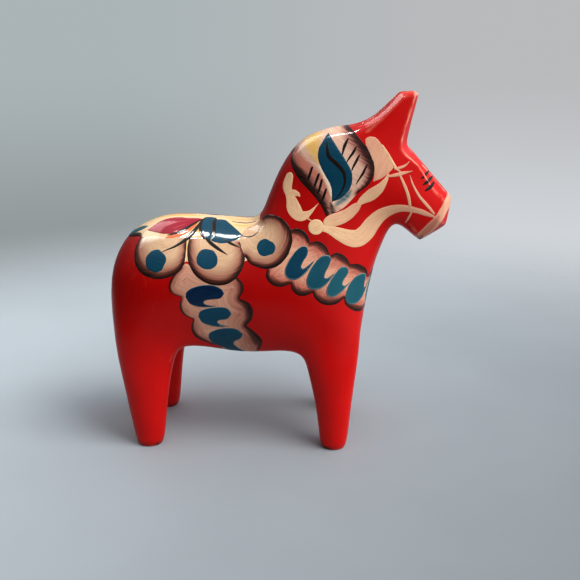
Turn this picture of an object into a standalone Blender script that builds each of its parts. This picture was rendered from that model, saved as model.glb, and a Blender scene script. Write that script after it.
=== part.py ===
"""Dala horse: one carved block of pine with its painted decoration.

Frame: metres, +Z up, +X towards the muzzle, the left side at +Y. The origin is on the floor, midway along the horse
and between its legs. The tables below are in millimetres and MM turns them into metres.
"""

from bisect import bisect
from itertools import accumulate, product
from math import cos, pi, radians, sin

import bmesh
import bpy
from mathutils import Vector
from mathutils.bvhtree import BVHTree
from mathutils.geometry import delaunay_2d_cdt
from mathutils.interpolate import poly_3d_calc

MM = 0.001
FAR = 90.0  # outside the horse, in any direction from its middle plane

# ---------------------------------------------------------------- the block's cage
# The block is a cage of six-sided cells, smoothed by subdivision. A cage point is named by its column along the
# horse, its layer from the middle plane outwards and its row upwards.
RUMP, HIND, GROIN, WAIST, GIRTH, SHOULDER, CHEST, BRIDGE, MUZZLE = range(9)
SOLE, RIM, SHIN, KNEE, BELLY, FLANK, RIB, BACK, NAPE, CREST, POLL, EAR = range(12)
MIDDLE, INNER, OUTER = range(3)

# Blocks of cells, as (columns, layers, rows), each named by its lower corner.
CELL_BLOCKS = (
    (range(RUMP, CHEST), (MIDDLE, INNER), range(BELLY, BACK)),  # trunk
    ((RUMP, HIND), (INNER,), range(SOLE, BELLY)),  # hind leg
    ((GIRTH, SHOULDER), (INNER,), range(SOLE, BELLY)),  # fore leg
    ((GIRTH, SHOULDER), (MIDDLE, INNER), range(BACK, POLL)),  # neck
    ((CHEST, BRIDGE), (MIDDLE, INNER), (NAPE, CREST)),  # head
    ((SHOULDER,), (INNER,), (POLL,)),  # ear
)

# Legs, from the sole up: height, back edge, front edge, inner face, outer face. Each row is the size of the finished
# leg: the six cage points round it are pushed out so that they smooth to that size.
LEG_ROWS = (SOLE, RIM, SHIN, KNEE)
HIND_LEG = (
    (0.0, -53.3, -44.4, 13.6, 22.4),
    (1.6, -54.3, -43.2, 12.8, 23.2),
    (14.0, -56.4, -42.0, 11.6, 23.0),
    (27.0, -59.0, -40.4, 10.0, 22.6),
)
FORE_LEG = (
    (0.0, 16.8, 25.2, 13.6, 22.4),
    (1.6, 15.7, 26.3, 12.8, 23.2),
    (14.0, 14.8, 27.4, 11.6, 23.0),
    (27.0, 11.6, 28.8, 10.0, 22.6),
)
HEXAGON_SWELL = 1.2  # a hexagon's radius over that of the round it smooths to

# Trunk, neck and head in side view: (column, row): x, z, half width, and how far the side face is set in from the
# outline there, which is the knife's chamfer. A point inside the outline has no chamfer.
STATIONS = {
    (RUMP, BELLY): (-61.4, 38.0, 20.5, 0.0),
    (HIND, BELLY): (-50.0, 39.0, 23.0, 0.0),
    (GROIN, BELLY): (-36.6, 39.6, 19.5, 0.0),
    (WAIST, BELLY): (-14.0, 31.0, 15.5, 4.0),
    (GIRTH, BELLY): (9.0, 37.2, 19.5, 0.0),
    (SHOULDER, BELLY): (19.0, 39.0, 22.0, 0.0),
    (CHEST, BELLY): (31.0, 39.0, 18.5, 0.0),
    (RUMP, FLANK): (-64.4, 51.0, 17.5, 3.5),
    (HIND, FLANK): (-50.0, 53.0, 22.8, 0.0),
    (GROIN, FLANK): (-36.0, 52.0, 22.0, 0.0),
    (WAIST, FLANK): (-14.0, 50.0, 21.8, 0.0),
    (GIRTH, FLANK): (4.0, 51.0, 21.8, 0.0),
    (SHOULDER, FLANK): (19.0, 52.0, 21.2, 0.0),
    (CHEST, FLANK): (32.6, 53.0, 15.5, 3.5),
    (RUMP, RIB): (-64.4, 65.0, 15.0, 4.0),
    (HIND, RIB): (-50.0, 68.0, 21.5, 0.0),
    (GROIN, RIB): (-36.0, 68.0, 22.0, 0.0),
    (WAIST, RIB): (-17.0, 67.0, 21.6, 0.0),
    (GIRTH, RIB): (-2.0, 67.0, 21.0, 0.0),
    (SHOULDER, RIB): (17.0, 67.0, 19.5, 0.0),
    (CHEST, RIB): (35.4, 66.5, 13.5, 3.5),
    (RUMP, BACK): (-58.4, 78.0, 10.5, 5.0),
    (HIND, BACK): (-46.6, 84.8, 14.0, 7.0),
    (GROIN, BACK): (-35.0, 85.8, 15.0, 8.0),
    (WAIST, BACK): (-20.0, 84.6, 15.0, 8.0),
    (GIRTH, BACK): (-7.4, 83.4, 13.5, 4.0),
    (SHOULDER, BACK): (14.0, 83.0, 16.0, 0.0),
    (CHEST, BACK): (38.8, 77.0, 11.5, 3.6),
    (GIRTH, NAPE): (-1.8, 99.8, 8.5, 3.5),
    (SHOULDER, NAPE): (18.0, 96.0, 13.0, 0.0),
    (CHEST, NAPE): (42.2, 84.0, 9.0, 2.2),
    (GIRTH, CREST): (5.2, 112.0, 7.5, 3.5),
    (SHOULDER, CREST): (22.0, 106.0, 12.0, 0.0),
    (CHEST, CREST): (43.5, 97.0, 10.5, 0.0),
    (GIRTH, POLL): (15.2, 117.5, 6.8, 2.5),
    (SHOULDER, POLL): (31.0, 119.6, 7.6, 2.6),
    (CHEST, POLL): (46.6, 111.4, 7.4, 3.6),
    (SHOULDER, EAR): (43.0, 130.8, 5.2, 2.2),
    (CHEST, EAR): (50.2, 130.4, 4.8, 1.6),
    (BRIDGE, NAPE): (46.5, 80.5, 8.0, 2.0),
    (BRIDGE, CREST): (52.0, 91.0, 10.0, 0.0),
    (BRIDGE, POLL): (54.6, 102.3, 6.6, 3.2),
    (MUZZLE, NAPE): (52.0, 76.2, 6.5, 2.0),
    (MUZZLE, CREST): (61.6, 82.4, 8.0, 2.6),
    (MUZZLE, POLL): (63.4, 92.6, 6.2, 3.4),
}
INNER_WIDTH_SHARE = 0.52  # how far out the inner layer lies, as a share of the half width
INNER_CHAMFER_SHARE = 0.2  # how much of the chamfer the inner layer has
EAR_NOTCH = {POLL: 0.8, EAR: 2.2}  # half the V-shaped notch between the ears, at its foot and at the tips
GROIN_WIDTH = 9.5  # inner layer where a leg meets the belly

# Creases, from 0 for smooth to 1 for sharp, along named outlines of the cage.
SOLE_CREASE = 1.0
KNIFE_CREASE = 0.55  # edge between a head or ear face and its chamfer
CORNER_CREASE = 0.36  # across the horse: belly to leg, and back to neck
TIP_CREASE = 0.5  # across the horse: ear tips, brow, and the ends of the muzzle
KNIFE_EDGES = (
    ((SHOULDER, POLL), (SHOULDER, EAR)),
    ((SHOULDER, EAR), (CHEST, EAR)),
    ((CHEST, EAR), (CHEST, POLL)),
    ((CHEST, POLL), (BRIDGE, POLL)),
    ((BRIDGE, POLL), (MUZZLE, POLL)),
    ((MUZZLE, POLL), (MUZZLE, CREST)),
    ((MUZZLE, CREST), (MUZZLE, NAPE)),
    ((MUZZLE, NAPE), (BRIDGE, NAPE)),
)
CORNERS = ((GROIN, BELLY), (GIRTH, BELLY), (GIRTH, BACK))
TIPS = ((SHOULDER, EAR), (CHEST, EAR), (CHEST, POLL), (MUZZLE, POLL), (MUZZLE, CREST), (MUZZLE, NAPE))
SUBDIVISIONS = 2


def cage_cells():
    """The set of filled cells of one half of the horse, as (column, layer, row)."""
    return {cell for block in CELL_BLOCKS for cell in product(*block)}


def side_view_inward(cells):
    """For each point of the side view's outline, the unit vector pointing into the wood."""
    filled = {(column, row) for column, _, row in cells}
    points = side_points()
    inward = {}
    for column, row in points:
        around = [(column - 1, row - 1), (column, row - 1), (column - 1, row), (column, row)]
        if all(cell in filled for cell in around):
            continue
        ends = []
        for step, beside in (
            ((1, 0), ((column, row), (column, row - 1))),
            ((-1, 0), ((column - 1, row), (column - 1, row - 1))),
            ((0, 1), ((column, row), (column - 1, row))),
            ((0, -1), ((column, row - 1), (column - 1, row - 1))),
        ):
            if sum(cell in filled for cell in beside) == 1:
                ends.append((column + step[0], row + step[1]))
        start, end = (Vector(points[name]) for name in ends)
        along = (end - start).normalized()
        normal = Vector((-along.y, along.x))
        # The centre of the filled cells beside the point says which way is inward.
        middles = [cell_middle(points, cell) for cell in around if cell in filled]
        towards = sum(middles, Vector((0, 0))) / len(middles) - Vector(points[column, row])
        inward[column, row] = normal if normal.dot(towards) > 0 else -normal
    return inward


def side_points():
    """(column, row) to (x, z) in millimetres, legs included."""
    points = {name: station[:2] for name, station in STATIONS.items()}
    for leg, back in ((HIND_LEG, RUMP), (FORE_LEG, GIRTH)):
        for row, (height, x_back, x_front, _, _) in zip(LEG_ROWS, leg):
            points[back, row] = (x_back, height)
            points[back + 1, row] = ((x_back + x_front) / 2, height)
            points[back + 2, row] = (x_front, height)
    return points


def cell_middle(points, cell):
    column, row = cell
    corners = [points[column + i, row + k] for i, k in product((0, 1), (0, 1))]
    return sum((Vector(corner) for corner in corners), Vector((0, 0))) / 4


def leg_point(column, layer, row):
    """One of the six points round a leg, in millimetres."""
    leg, back = (HIND_LEG, RUMP) if column <= GROIN else (FORE_LEG, GIRTH)
    height, x_back, x_front, y_inner, y_outer = leg[row]
    centre = Vector(((x_back + x_front) / 2, (y_inner + y_outer) / 2))
    reach = Vector(((x_front - x_back) / 2, (y_outer - y_inner) / 2)) * HEXAGON_SWELL
    side = -1 if layer == INNER else 1
    turn = radians(side * (90 - 60 * (column - back - 1)))
    return Vector((centre.x + reach.x * cos(turn), centre.y + reach.y * sin(turn), height))


def cage_point(name, points, inward):
    """The cage point's place in metres, on the +Y half."""
    column, layer, row = name
    if row in LEG_ROWS:
        return leg_point(column, layer, row) * MM
    x, z, width, chamfer = STATIONS[column, row]
    share = (0.0, INNER_CHAMFER_SHARE, 1.0)[layer]
    if (column, row) in inward:
        x, z = Vector((x, z)) + inward[column, row] * chamfer * share
    y = (0.0, width * INNER_WIDTH_SHARE, width)[layer]
    if layer == INNER and row == BELLY and column != WAIST:
        y = GROIN_WIDTH
    if layer == INNER and row in EAR_NOTCH and column in (SHOULDER, CHEST):
        y = EAR_NOTCH[row]
    return Vector((x, y, z)) * MM


def crease_of(first, second):
    """How sharp the cage edge between two named points is."""
    columns = (first[0], second[0])
    ends = ((first[0], first[2]), (second[0], second[2]))
    across = ends[0] == ends[1]
    if first[2] == second[2] == SOLE:
        # The edge across the middle of a sole is inside it.
        return 0.0 if columns in ((HIND, HIND), (SHOULDER, SHOULDER)) else SOLE_CREASE
    if across:
        return CORNER_CREASE if ends[0] in CORNERS else TIP_CREASE if ends[0] in TIPS else 0.0
    if MIDDLE not in (first[1], second[1]) and (ends in KNIFE_EDGES or ends[::-1] in KNIFE_EDGES):
        return KNIFE_CREASE
    return 0.0


def carved_block():
    """The whole horse as one mesh object: half a cage, mirrored and subdivided."""
    cells = cage_cells()
    points = side_points()
    inward = side_view_inward(cells)
    mesh = bmesh.new()
    vertices = {}

    def vertex(name):
        if name not in vertices:
            vertices[name] = mesh.verts.new(cage_point(name, points, inward))
        return vertices[name]

    for column, layer, row in sorted(cells):
        base = Vector((column, layer, row))
        for axis, side in product(range(3), (0, 1)):
            step = [0, 0, 0]
            step[axis] = 1 if side else -1
            beside = (column + step[0], layer + step[1], row + step[2])
            if beside in cells or beside[1] < MIDDLE:
                continue
            u, v = [a for a in range(3) if a != axis]
            corners = []
            for du, dv in ((0, 0), (1, 0), (1, 1), (0, 1)):
                corner = base.copy()
                corner[axis] += side
                corner[u] += du
                corner[v] += dv
                corners.append(vertex(tuple(int(c) for c in corner)))
            mesh.faces.new(corners)
    bmesh.ops.recalc_face_normals(mesh, faces=mesh.faces)
    crease = mesh.edges.layers.float.new("crease_edge")
    names = {vert: name for name, vert in vertices.items()}
    for edge in mesh.edges:
        edge[crease] = crease_of(*(names[vert] for vert in edge.verts))
    data = bpy.data.meshes.new("carved_horse")
    mesh.to_mesh(data)
    mesh.free()
    horse = bpy.data.objects.new("carved_horse", data)
    bpy.context.scene.collection.objects.link(horse)
    mirror = horse.modifiers.new("other half", "MIRROR")
    mirror.use_axis = (False, True, False)
    mirror.merge_threshold = 0.0001
    smooth = horse.modifiers.new("knife rounding", "SUBSURF")
    smooth.levels = SUBDIVISIONS
    smooth.render_levels = SUBDIVISIONS
    data.shade_smooth()
    return horse


# ---------------------------------------------------------------- the painted decoration
# Every brushed shape is a paint film, drawn flat on a chart of the body and then laid on the wood. A chart is a
# sleeve round an axis in the middle plane: the first coordinate runs along the axis, and the second is the length
# round the surface from the middle plane, positive on the right side of the horse. The side chart is the plain side
# view. All chart sizes are in millimetres.
PAINT_GAP = 0.4
PAINT_THICKNESS = 0.35
COAT_GAP = 0.3
SECOND_COAT = PAINT_GAP + PAINT_THICKNESS + COAT_GAP  # how far out a stroke on top of another film starts
OUTLINE_STEP = 2.0  # spacing of points along an outline
FILL_STEP = 3.2  # spacing of points inside an outline
EDGE_CLEARANCE = 0.45  # of the fill step, kept free along the outline
NOSEBAND_STEP = 1.1  # the noseband crosses the sharp edges of the head, so it is finer
NOSEBAND_GAP = 0.5
TABLE_TURN = 3  # degrees between the rays that measure a sleeve's girth
FILM_EDGE_ANGLE = 50

# Linear base colours of the enamel, and the clear varnish over all of it.
FINISHES = {
    "red": (0.60, 0.008, 0.003),
    "cream": (0.78, 0.55, 0.36),
    "blue": (0.004, 0.10, 0.19),
    "crimson": (0.32, 0.012, 0.03),
}
PAINT_ROUGHNESS = 0.35
VARNISH = 0.6

# Sleeve axes in side view: a point, the direction along the axis, and the direction in which the middle line lies.
AXES = {
    "barrel": (Vector((0, 60)), Vector((1, 0)), Vector((0, 1))),
    "chest": (Vector((12, 0)), Vector((0, 1)), Vector((1, 0))),
    "neck": (Vector((22, 90)), Vector((0.45, 0.89)), Vector((-0.89, 0.45))),
    "muzzle": (Vector((47, 96)), Vector((0.79, -0.61)), Vector((0.61, 0.79))),
}

# An outline is a list of smooth runs. A run ends in a cusp where the next begins. Outlines in HALVES start and end
# on the middle line, and the other half mirrors them.
SADDLE_HALF = (
    ((-57, 0), (-56, 3), (-53, 6.5), (-50.5, 9)),
    ((-50.5, 9), (-52, 14), (-50.6, 21), (-46.5, 27), (-41, 29.8), (-35.5, 29), (-32.4, 25.5)),
    ((-32.4, 25.5), (-29.3, 29.2), (-25, 31.4), (-21, 31.6), (-16.5, 29.8), (-13.6, 26.6), (-12.6, 23.5)),
    ((-12.6, 23.5), (-10.8, 22.2)),
    ((-10.8, 22.2), (-10.8, 0)),
)
WITHERS_PETAL = (
    ((-9.8, 80.4), (-9.8, 72.2)),
    ((-9.8, 72.2), (-7, 70.4), (-3.5, 69.8), (1, 71), (4, 74.2), (5.2, 78.6), (3.4, 82.6), (0.6, 84.8), (-2, 85.2)),
    ((-2, 85.2), (-5.4, 81.8), (-9.8, 80.4)),
)
GIRTH_BAND = (
    ((-36.6, 30.6), (-34.4, 29.8), (-32.4, 27.6)),
    ((-32.4, 27.6), (-29.6, 30.6), (-25, 32.4), (-20.6, 32.5), (-16.4, 31.2), (-13.6, 28.8)),
    ((-13.6, 28.8), (-12, 32.4), (-13.4, 36.2)),
    ((-13.4, 36.2), (-9.6, 39), (-8.6, 43), (-11, 47)),
    ((-11, 47), (-7.6, 51), (-5.6, 56), (-6.2, 59.6)),
    ((-6.2, 59.6), (-8.6, 62), (-14, 63.4), (-19, 61.6), (-22.4, 58.8)),
    ((-22.4, 58.8), (-26, 55.8), (-30, 53), (-30.8, 49.5), (-30, 45.6)),
    ((-30, 45.6), (-33.8, 44), (-34.8, 40.6), (-33.4, 37.2)),
    ((-33.4, 37.2), (-37.6, 36), (-39, 33), (-36.6, 30.6)),
)
BREAST_HALF = (
    ((50.5, 0), (50.6, 4.5), (53, 8.8)),
    ((53, 8.8), (51.9, 13), (53.2, 18.4), (57.6, 22)),
    ((57.6, 22), (56.2, 26.4), (57.6, 31), (61, 33.4)),
    ((61, 33.4), (59.8, 37), (61, 40.4), (64.2, 42)),
    ((64.2, 42), (62.7, 45.6), (64.4, 49), (68.6, 50.2)),
    ((68.6, 50.2), (69.4, 46.4), (71.6, 43.8), (75.2, 42), (79.6, 41.4)),
    ((79.6, 41.4), (80.6, 38.4), (78.4, 35.8)),
    ((78.4, 35.8), (78, 32), (74.6, 28.8)),
    ((74.6, 28.8), (74.4, 24), (70.6, 20)),
    ((70.6, 20), (69.6, 15), (65.6, 11)),
    ((65.6, 11), (66.6, 5), (66, 0)),
)
MANE_HALF = (
    ((9, 0), (8.2, 3.5), (5, 10), (2.4, 15), (0.4, 21), (-2, 26), (-4.2, 29)),
    ((-4.2, 29), (0, 31), (3, 32), (8, 33.8), (11, 34.2), (15, 32.6), (19, 27.6), (22.4, 19), (24.6, 11), (26, 4), (26.2, 0)),
)
NOSEBAND_HALF = (
    ((12.6, 0), (12.8, 6), (13.6, 12), (13.2, 18), (13, 22), (13, 25)),
    ((13, 25), (16.2, 25)),
    ((16.2, 25), (16.4, 20), (16.8, 12), (16.2, 6), (16, 0)),
)
HALVES = (
    ("saddle_cloth", "barrel", SADDLE_HALF, "cream"),
    ("breast_band", "chest", BREAST_HALF, "cream"),
    ("mane_panel", "neck", MANE_HALF, "cream"),
)

REIN_RIBBON = (
    ((11.4, 83.6), (13.8, 81.2), (17.6, 82), (22, 79.4), (27, 76.8), (31, 77), (34.4, 80.4), (37, 85.2), (41, 87.8),
     (45, 88.5), (50, 87.6), (56, 86.2)),
    ((56, 86.2), (52, 88.6), (47.8, 90.5), (43, 91.2), (38, 90.9), (33.6, 89.2), (29, 85.4), (25, 82.9), (21.6, 83.4),
     (19.4, 84.4), (16.4, 84.6), (14, 86), (11.4, 83.6)),
)
MANE_LOCK = (
    ((2.4, 102), (5.2, 101.2), (5.6, 99), (3.6, 96.6), (3.2, 94.2), (5.6, 92.6), (5.4, 90.2), (7, 88.6), (10.4, 89.4),
     (12.6, 91.4)),
    ((12.6, 91.4), (11.4, 87.4), (7.6, 85.6), (4.4, 87), (3.4, 90.4), (3.6, 92.4), (1.2, 94.6), (0.6, 98), (2.4, 102)),
)
BRIDLE_LEAF = (
    ((28.4, 91.6), (31.6, 91.2), (35, 92.6), (37.4, 95.6), (39.2, 100.6)),
    ((39.2, 100.6), (35.6, 99), (31.6, 96.8), (28.4, 91.6)),
)
FORELOCK_LEAF = (
    ((34.2, 114.6), (36.2, 111.6), (37.6, 108.4), (40.6, 104.6), (39.6, 102.4), (37, 101.8), (34.6, 100.6)),
    ((34.6, 100.6), (35.4, 103.6), (34.6, 107), (33, 110.2), (32, 114.4)),
    ((32, 114.4), (34.2, 114.6)),
)
CHEEK_STRAP = (
    ((42.4, 103.4), (45, 98.6), (46.6, 94.8), (47.2, 91.6)),
    ((47.2, 91.6), (48.4, 91.6)),
    ((48.4, 91.6), (47.6, 95.4), (46, 99.2), (43.4, 103.4)),
    ((43.4, 103.4), (42.4, 103.4)),
)
JAW_STRAP = (
    ((46.6, 102), (48, 97.4), (50.8, 93), (54.6, 89)),
    ((54.6, 89), (55.6, 90)),
    ((55.6, 90), (52, 94), (49.2, 98), (47.6, 102)),
    ((47.6, 102), (46.6, 102)),
)
MANE_LEAF = (
    ((21, 5.4), (16.4, 9.2), (12, 14), (8.4, 19.8), (5.2, 24.4), (0.8, 27.2)),
    ((0.8, 27.2), (4.4, 29.2), (8.4, 29.8), (12, 27.6), (14.8, 22.4), (17, 16.6), (19.4, 11.6), (21, 5.4)),
)
CRIMSON_LEAF = (
    ((-47.6, 8), (-43, 5), (-38, 3.8), (-33, 3.8), (-29.4, 4.4)),
    ((-29.4, 4.4), (-32, 8.2), (-36, 11.8), (-40, 12.8), (-44, 11.6), (-47.6, 8)),
)
SADDLE_LEAF = (
    ((-27.4, 4), (-28.2, 8), (-27.4, 12), (-25.4, 14.8), (-22, 16), (-18, 15.6), (-13.4, 13)),
    ((-13.4, 13), (-16.2, 9.6), (-18.8, 5.8), (-21, 4.4), (-24, 4.4), (-27.4, 4)),
)
GIRTH_SCROLL = (
    ((-28, 33.8), (-23, 33.6), (-19, 34.8), (-21, 36.6), (-25.4, 37.6), (-23, 39.8), (-18.4, 39.6), (-16.8, 41.8),
     (-18.6, 44.4), (-21.6, 45.6), (-19.4, 47.6), (-15, 48), (-12.8, 50.2), (-14.4, 52.8), (-17.4, 54.6), (-16.6, 57.4),
     (-15, 60.8)),
    ((-15, 60.8), (-18.6, 60.4), (-21.4, 56.6), (-25.2, 53.4), (-24.4, 49.6), (-22, 47.4), (-26.4, 46.6),
     (-28.4, 43.6), (-26.6, 40.8), (-30.4, 39.8), (-32.6, 37), (-31, 34.8), (-28, 33.8)),
)
BREAST_SCROLL = (
    ((10.9, 75.6), (8.8, 77.1), (6.4, 75.4), (3.4, 70.4), (3, 67.2), (5.2, 65.8), (8.4, 67.4), (9.8, 69), (11.4, 66.6),
     (11, 64), (13, 62.2), (16, 63), (18.2, 65.2), (18.2, 62), (19, 59.6), (21.2, 59.4), (23.8, 61.4), (25, 61.2),
     (24.6, 58.2), (26.4, 56), (28.8, 55.6)),
    ((28.8, 55.6), (30.6, 57.8), (31.6, 62), (31.2, 65.4), (29.2, 65.4), (26.4, 63.2), (24.2, 63.6), (25.2, 68),
     (23.6, 69.2), (21.2, 67.8), (18.6, 66.2), (17.6, 67), (19, 71.4), (18, 73.8), (15.6, 73.4), (12.8, 70.6),
     (10.2, 69.6), (9.4, 71.4), (10.9, 75.6)),
)
DOTS = (
    ("rear_petal_dot", "barrel", (-43.8, 22.8), (3.4, 4.4)),
    ("middle_petal_dot", "barrel", (-25.2, 22.6), (4.0, 3.8)),
    ("withers_petal_dot", "side", (-4.2, 76.2), (3.3, 2.9)),
)
FIRST_COAT_PAIRS = (
    ("withers_petal", "side", WITHERS_PETAL, "cream"),
    ("girth_band", "barrel", GIRTH_BAND, "cream"),
    ("rein_ribbon", "side", REIN_RIBBON, "cream"),
    ("mane_lock", "side", MANE_LOCK, "cream"),
    ("bridle_leaf", "side", BRIDLE_LEAF, "cream"),
    ("forelock_leaf", "side", FORELOCK_LEAF, "cream"),
    ("cheek_strap", "side", CHEEK_STRAP, "cream"),
    ("jaw_strap", "side", JAW_STRAP, "cream"),
)
SECOND_COAT_PAIRS = (
    ("mane_leaf", "neck", MANE_LEAF, "blue"),
    ("crimson_leaf", "barrel", CRIMSON_LEAF, "crimson"),
    ("saddle_leaf", "barrel", SADDLE_LEAF, "blue"),
    ("girth_scroll", "barrel", GIRTH_SCROLL, "blue"),
    ("breast_scroll", "side", BREAST_SCROLL, "blue"),
)


class Surface:
    """The finished block, for finding the place and direction of its surface."""

    def __init__(self, horse):
        graph = bpy.context.evaluated_depsgraph_get()
        self.mesh = horse.evaluated_get(graph).to_mesh()
        points = [vertex.co for vertex in self.mesh.vertices]
        self.faces = [tuple(face.vertices) for face in self.mesh.polygons]
        self.tree = BVHTree.FromPolygons(points, self.faces)
        self.girths = {}

    def hit(self, start, direction):
        """Where a ray in millimetres meets the surface, with the smooth normal there, or None."""
        place, _, index, _ = self.tree.ray_cast(start * MM, direction)
        if place is None:
            return None
        corners = [self.mesh.vertices[i] for i in self.faces[index]]
        weights = poly_3d_calc([corner.co for corner in corners], place)
        normal = sum((corner.normal * weight for corner, weight in zip(corners, weights)), Vector())
        return place / MM, normal.normalized()

    def side(self, x, z, side):
        """The outermost place at (x, z), seen from the right (side 1) or the left (side -1)."""
        return self.hit(Vector((x, -side * FAR, z)), Vector((0, side, 0)))

    def sleeve(self, name, along, around):
        """The place at a length around the surface from the middle line, at a place along the axis."""
        point, axis, middle = AXES[name]
        centre = point + axis.normalized() * along
        start = Vector((centre.x, 0, centre.y))

        def ray(turn):
            towards = middle.normalized() * cos(turn)
            return Vector((towards.x, -sin(turn), towards.y))

        key = (name, along)
        if key not in self.girths:
            turns = [radians(turn) for turn in range(0, 181, TABLE_TURN)]
            places = [self.hit(start, ray(turn))[0] for turn in turns]
            lengths = [0.0, *accumulate((b - a).length for a, b in zip(places, places[1:]))]
            self.girths[key] = (turns, lengths)
        turns, lengths = self.girths[key]
        step = min(bisect(lengths, abs(around)), len(lengths) - 1)
        part = (abs(around) - lengths[step - 1]) / (lengths[step] - lengths[step - 1])
        turn = turns[step - 1] + part * (turns[step] - turns[step - 1])
        return self.hit(start, ray(turn if around >= 0 else -turn))


def smooth_run(points, step):
    """Points about a step apart on a smooth curve through a run's points, without its last point."""
    points = [Vector(point) for point in points]
    before = [points[0] * 2 - points[1], *points[:-1]]
    after = [*points[1:], points[-1] * 2 - points[-2]]
    dense = []
    for i, (start, end) in enumerate(zip(points, points[1:])):
        out, into = (end - before[i]) / 2, (after[i + 1] - start) / 2
        count = max(1, round((end - start).length / step))
        for t in (n / count for n in range(count)):
            dense.append(
                start * (2 * t**3 - 3 * t**2 + 1)
                + out * (t**3 - 2 * t**2 + t)
                + end * (3 * t**2 - 2 * t**3)
                + into * (t**3 - t**2)
            )
    return dense


def closed_outline(runs, step=OUTLINE_STEP):
    return [point for run in runs for point in smooth_run(run, step)]


def mirrored_outline(runs, step=OUTLINE_STEP):
    """The outline of both halves from the runs of one, which start and end on the middle line."""
    half = [*closed_outline(runs, step), Vector(runs[-1][-1])]
    other = [Vector((point.x, -point.y)) for point in reversed(half[1:-1])]
    return half + other


def dot_outline(centre, radii, count=14):
    turns = [2 * pi * i / count for i in range(count)]
    return [Vector((centre[0] + radii[0] * cos(t), centre[1] + radii[1] * sin(t))) for t in turns]


def filled(outline, step):
    """Triangles that fill a flat outline, as (points, faces), with points inside about a step apart."""
    low = [min(point[axis] for point in outline) for axis in (0, 1)]
    high = [max(point[axis] for point in outline) for axis in (0, 1)]
    inside = []
    rows = int((high[1] - low[1]) / (step * sin(radians(60)))) + 1
    for row in range(rows):
        v = low[1] + row * step * sin(radians(60))
        for column in range(int((high[0] - low[0]) / step) + 2):
            point = Vector((low[0] + (column - 0.5 * (row % 2)) * step, v))
            if is_inside(point, outline) and edge_distance(point, outline) > step * EDGE_CLEARANCE:
                inside.append(point)
    count = len(outline)
    rim = [(i, (i + 1) % count) for i in range(count)]
    points, _, faces, *_ = delaunay_2d_cdt(outline + inside, rim, [], 1, 1e-5)
    return points, faces


def is_inside(point, outline):
    inside = False
    for a, b in zip(outline, outline[1:] + outline[:1]):
        if (a.y > point.y) != (b.y > point.y) and point.x < a.x + (b.x - a.x) * (point.y - a.y) / (b.y - a.y):
            inside = not inside
    return inside


def edge_distance(point, outline):
    nearest = []
    for a, b in zip(outline, outline[1:] + outline[:1]):
        part = max(0.0, min(1.0, (point - a).dot(b - a) / (b - a).length_squared))
        nearest.append((a + (b - a) * part - point).length)
    return min(nearest)


def paint_film(name, surface, chart, outline, lift, finish, side=1, step=FILL_STEP):
    """A thin closed solid that follows the wood at a height above it."""
    points, faces = filled(outline, step)
    places = []
    for u, v in points:
        found = surface.side(u, v, side) if chart == "side" else surface.sleeve(chart, round(u, 4), v * side)
        places.append(found)
    mesh = bmesh.new()
    inner = [mesh.verts.new((place + normal * lift) * MM) for place, normal in places]
    outer = [mesh.verts.new((place + normal * (lift + PAINT_THICKNESS)) * MM) for place, normal in places]
    for a, b, c in faces:
        mesh.faces.new((outer[a], outer[b], outer[c]))
        mesh.faces.new((inner[c], inner[b], inner[a]))
    rim = [edge for edge in mesh.edges if edge.is_boundary]
    twin = {**dict(zip(inner, outer)), **dict(zip(outer, inner))}
    for edge in rim:
        a, b = edge.verts
        if a in set(inner):
            mesh.faces.new((a, b, twin[b], twin[a]))
    bmesh.ops.recalc_face_normals(mesh, faces=mesh.faces)
    data = bpy.data.meshes.new(name)
    mesh.to_mesh(data)
    mesh.free()
    data.shade_smooth()
    data.set_sharp_from_angle(angle=radians(FILM_EDGE_ANGLE))
    film = bpy.data.objects.new(name, data)
    bpy.context.scene.collection.objects.link(film)
    data.materials.append(paint(finish))
    return film


def paint(finish):
    """The Principled material of a finish, made once."""
    if finish in bpy.data.materials:
        return bpy.data.materials[finish]
    material = bpy.data.materials.new(finish)
    material.use_nodes = True
    shader = material.node_tree.nodes["Principled BSDF"]
    shader.inputs["Base Color"].default_value = (*FINISHES[finish], 1.0)
    shader.inputs["Roughness"].default_value = PAINT_ROUGHNESS
    shader.inputs["Metallic"].default_value = 0.0
    shader.inputs["Coat Weight"].default_value = VARNISH
    return material


def clear_scene():
    for obj in list(bpy.data.objects):
        bpy.data.objects.remove(obj)


def paint_horse(surface):
    for name, chart, runs, finish in HALVES:
        paint_film(name, surface, chart, mirrored_outline(runs), PAINT_GAP, finish)
    noseband = mirrored_outline(NOSEBAND_HALF, NOSEBAND_STEP)
    paint_film("noseband", surface, "muzzle", noseband, NOSEBAND_GAP, "cream", step=NOSEBAND_STEP)
    for side, word in ((1, "right"), (-1, "left")):
        for name, chart, runs, finish in FIRST_COAT_PAIRS:
            paint_film(f"{name}_{word}", surface, chart, closed_outline(runs), PAINT_GAP, finish, side)
        for name, chart, runs, finish in SECOND_COAT_PAIRS:
            paint_film(f"{name}_{word}", surface, chart, closed_outline(runs), SECOND_COAT, finish, side)
        for name, chart, centre, radii in DOTS:
            paint_film(f"{name}_{word}", surface, chart, dot_outline(centre, radii), SECOND_COAT, "blue", side)


def main():
    clear_scene()
    horse = carved_block()
    horse.data.materials.append(paint("red"))
    bpy.context.view_layer.update()
    paint_horse(Surface(horse))


main()
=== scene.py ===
"""Looks of the dala horse: lacquered pine, brush-painted in layers and varnished.

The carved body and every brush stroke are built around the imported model. A stroke is drawn flat on a chart of
the body, in millimetres, and then laid on the wood as a thin film that follows it.
"""

from math import cos, hypot, pi, radians, sin

import bmesh
import bpy
import numpy as np
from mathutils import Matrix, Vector, noise
from mathutils.bvhtree import BVHTree
from mathutils.geometry import delaunay_2d_cdt
from mathutils.kdtree import KDTree


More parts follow.
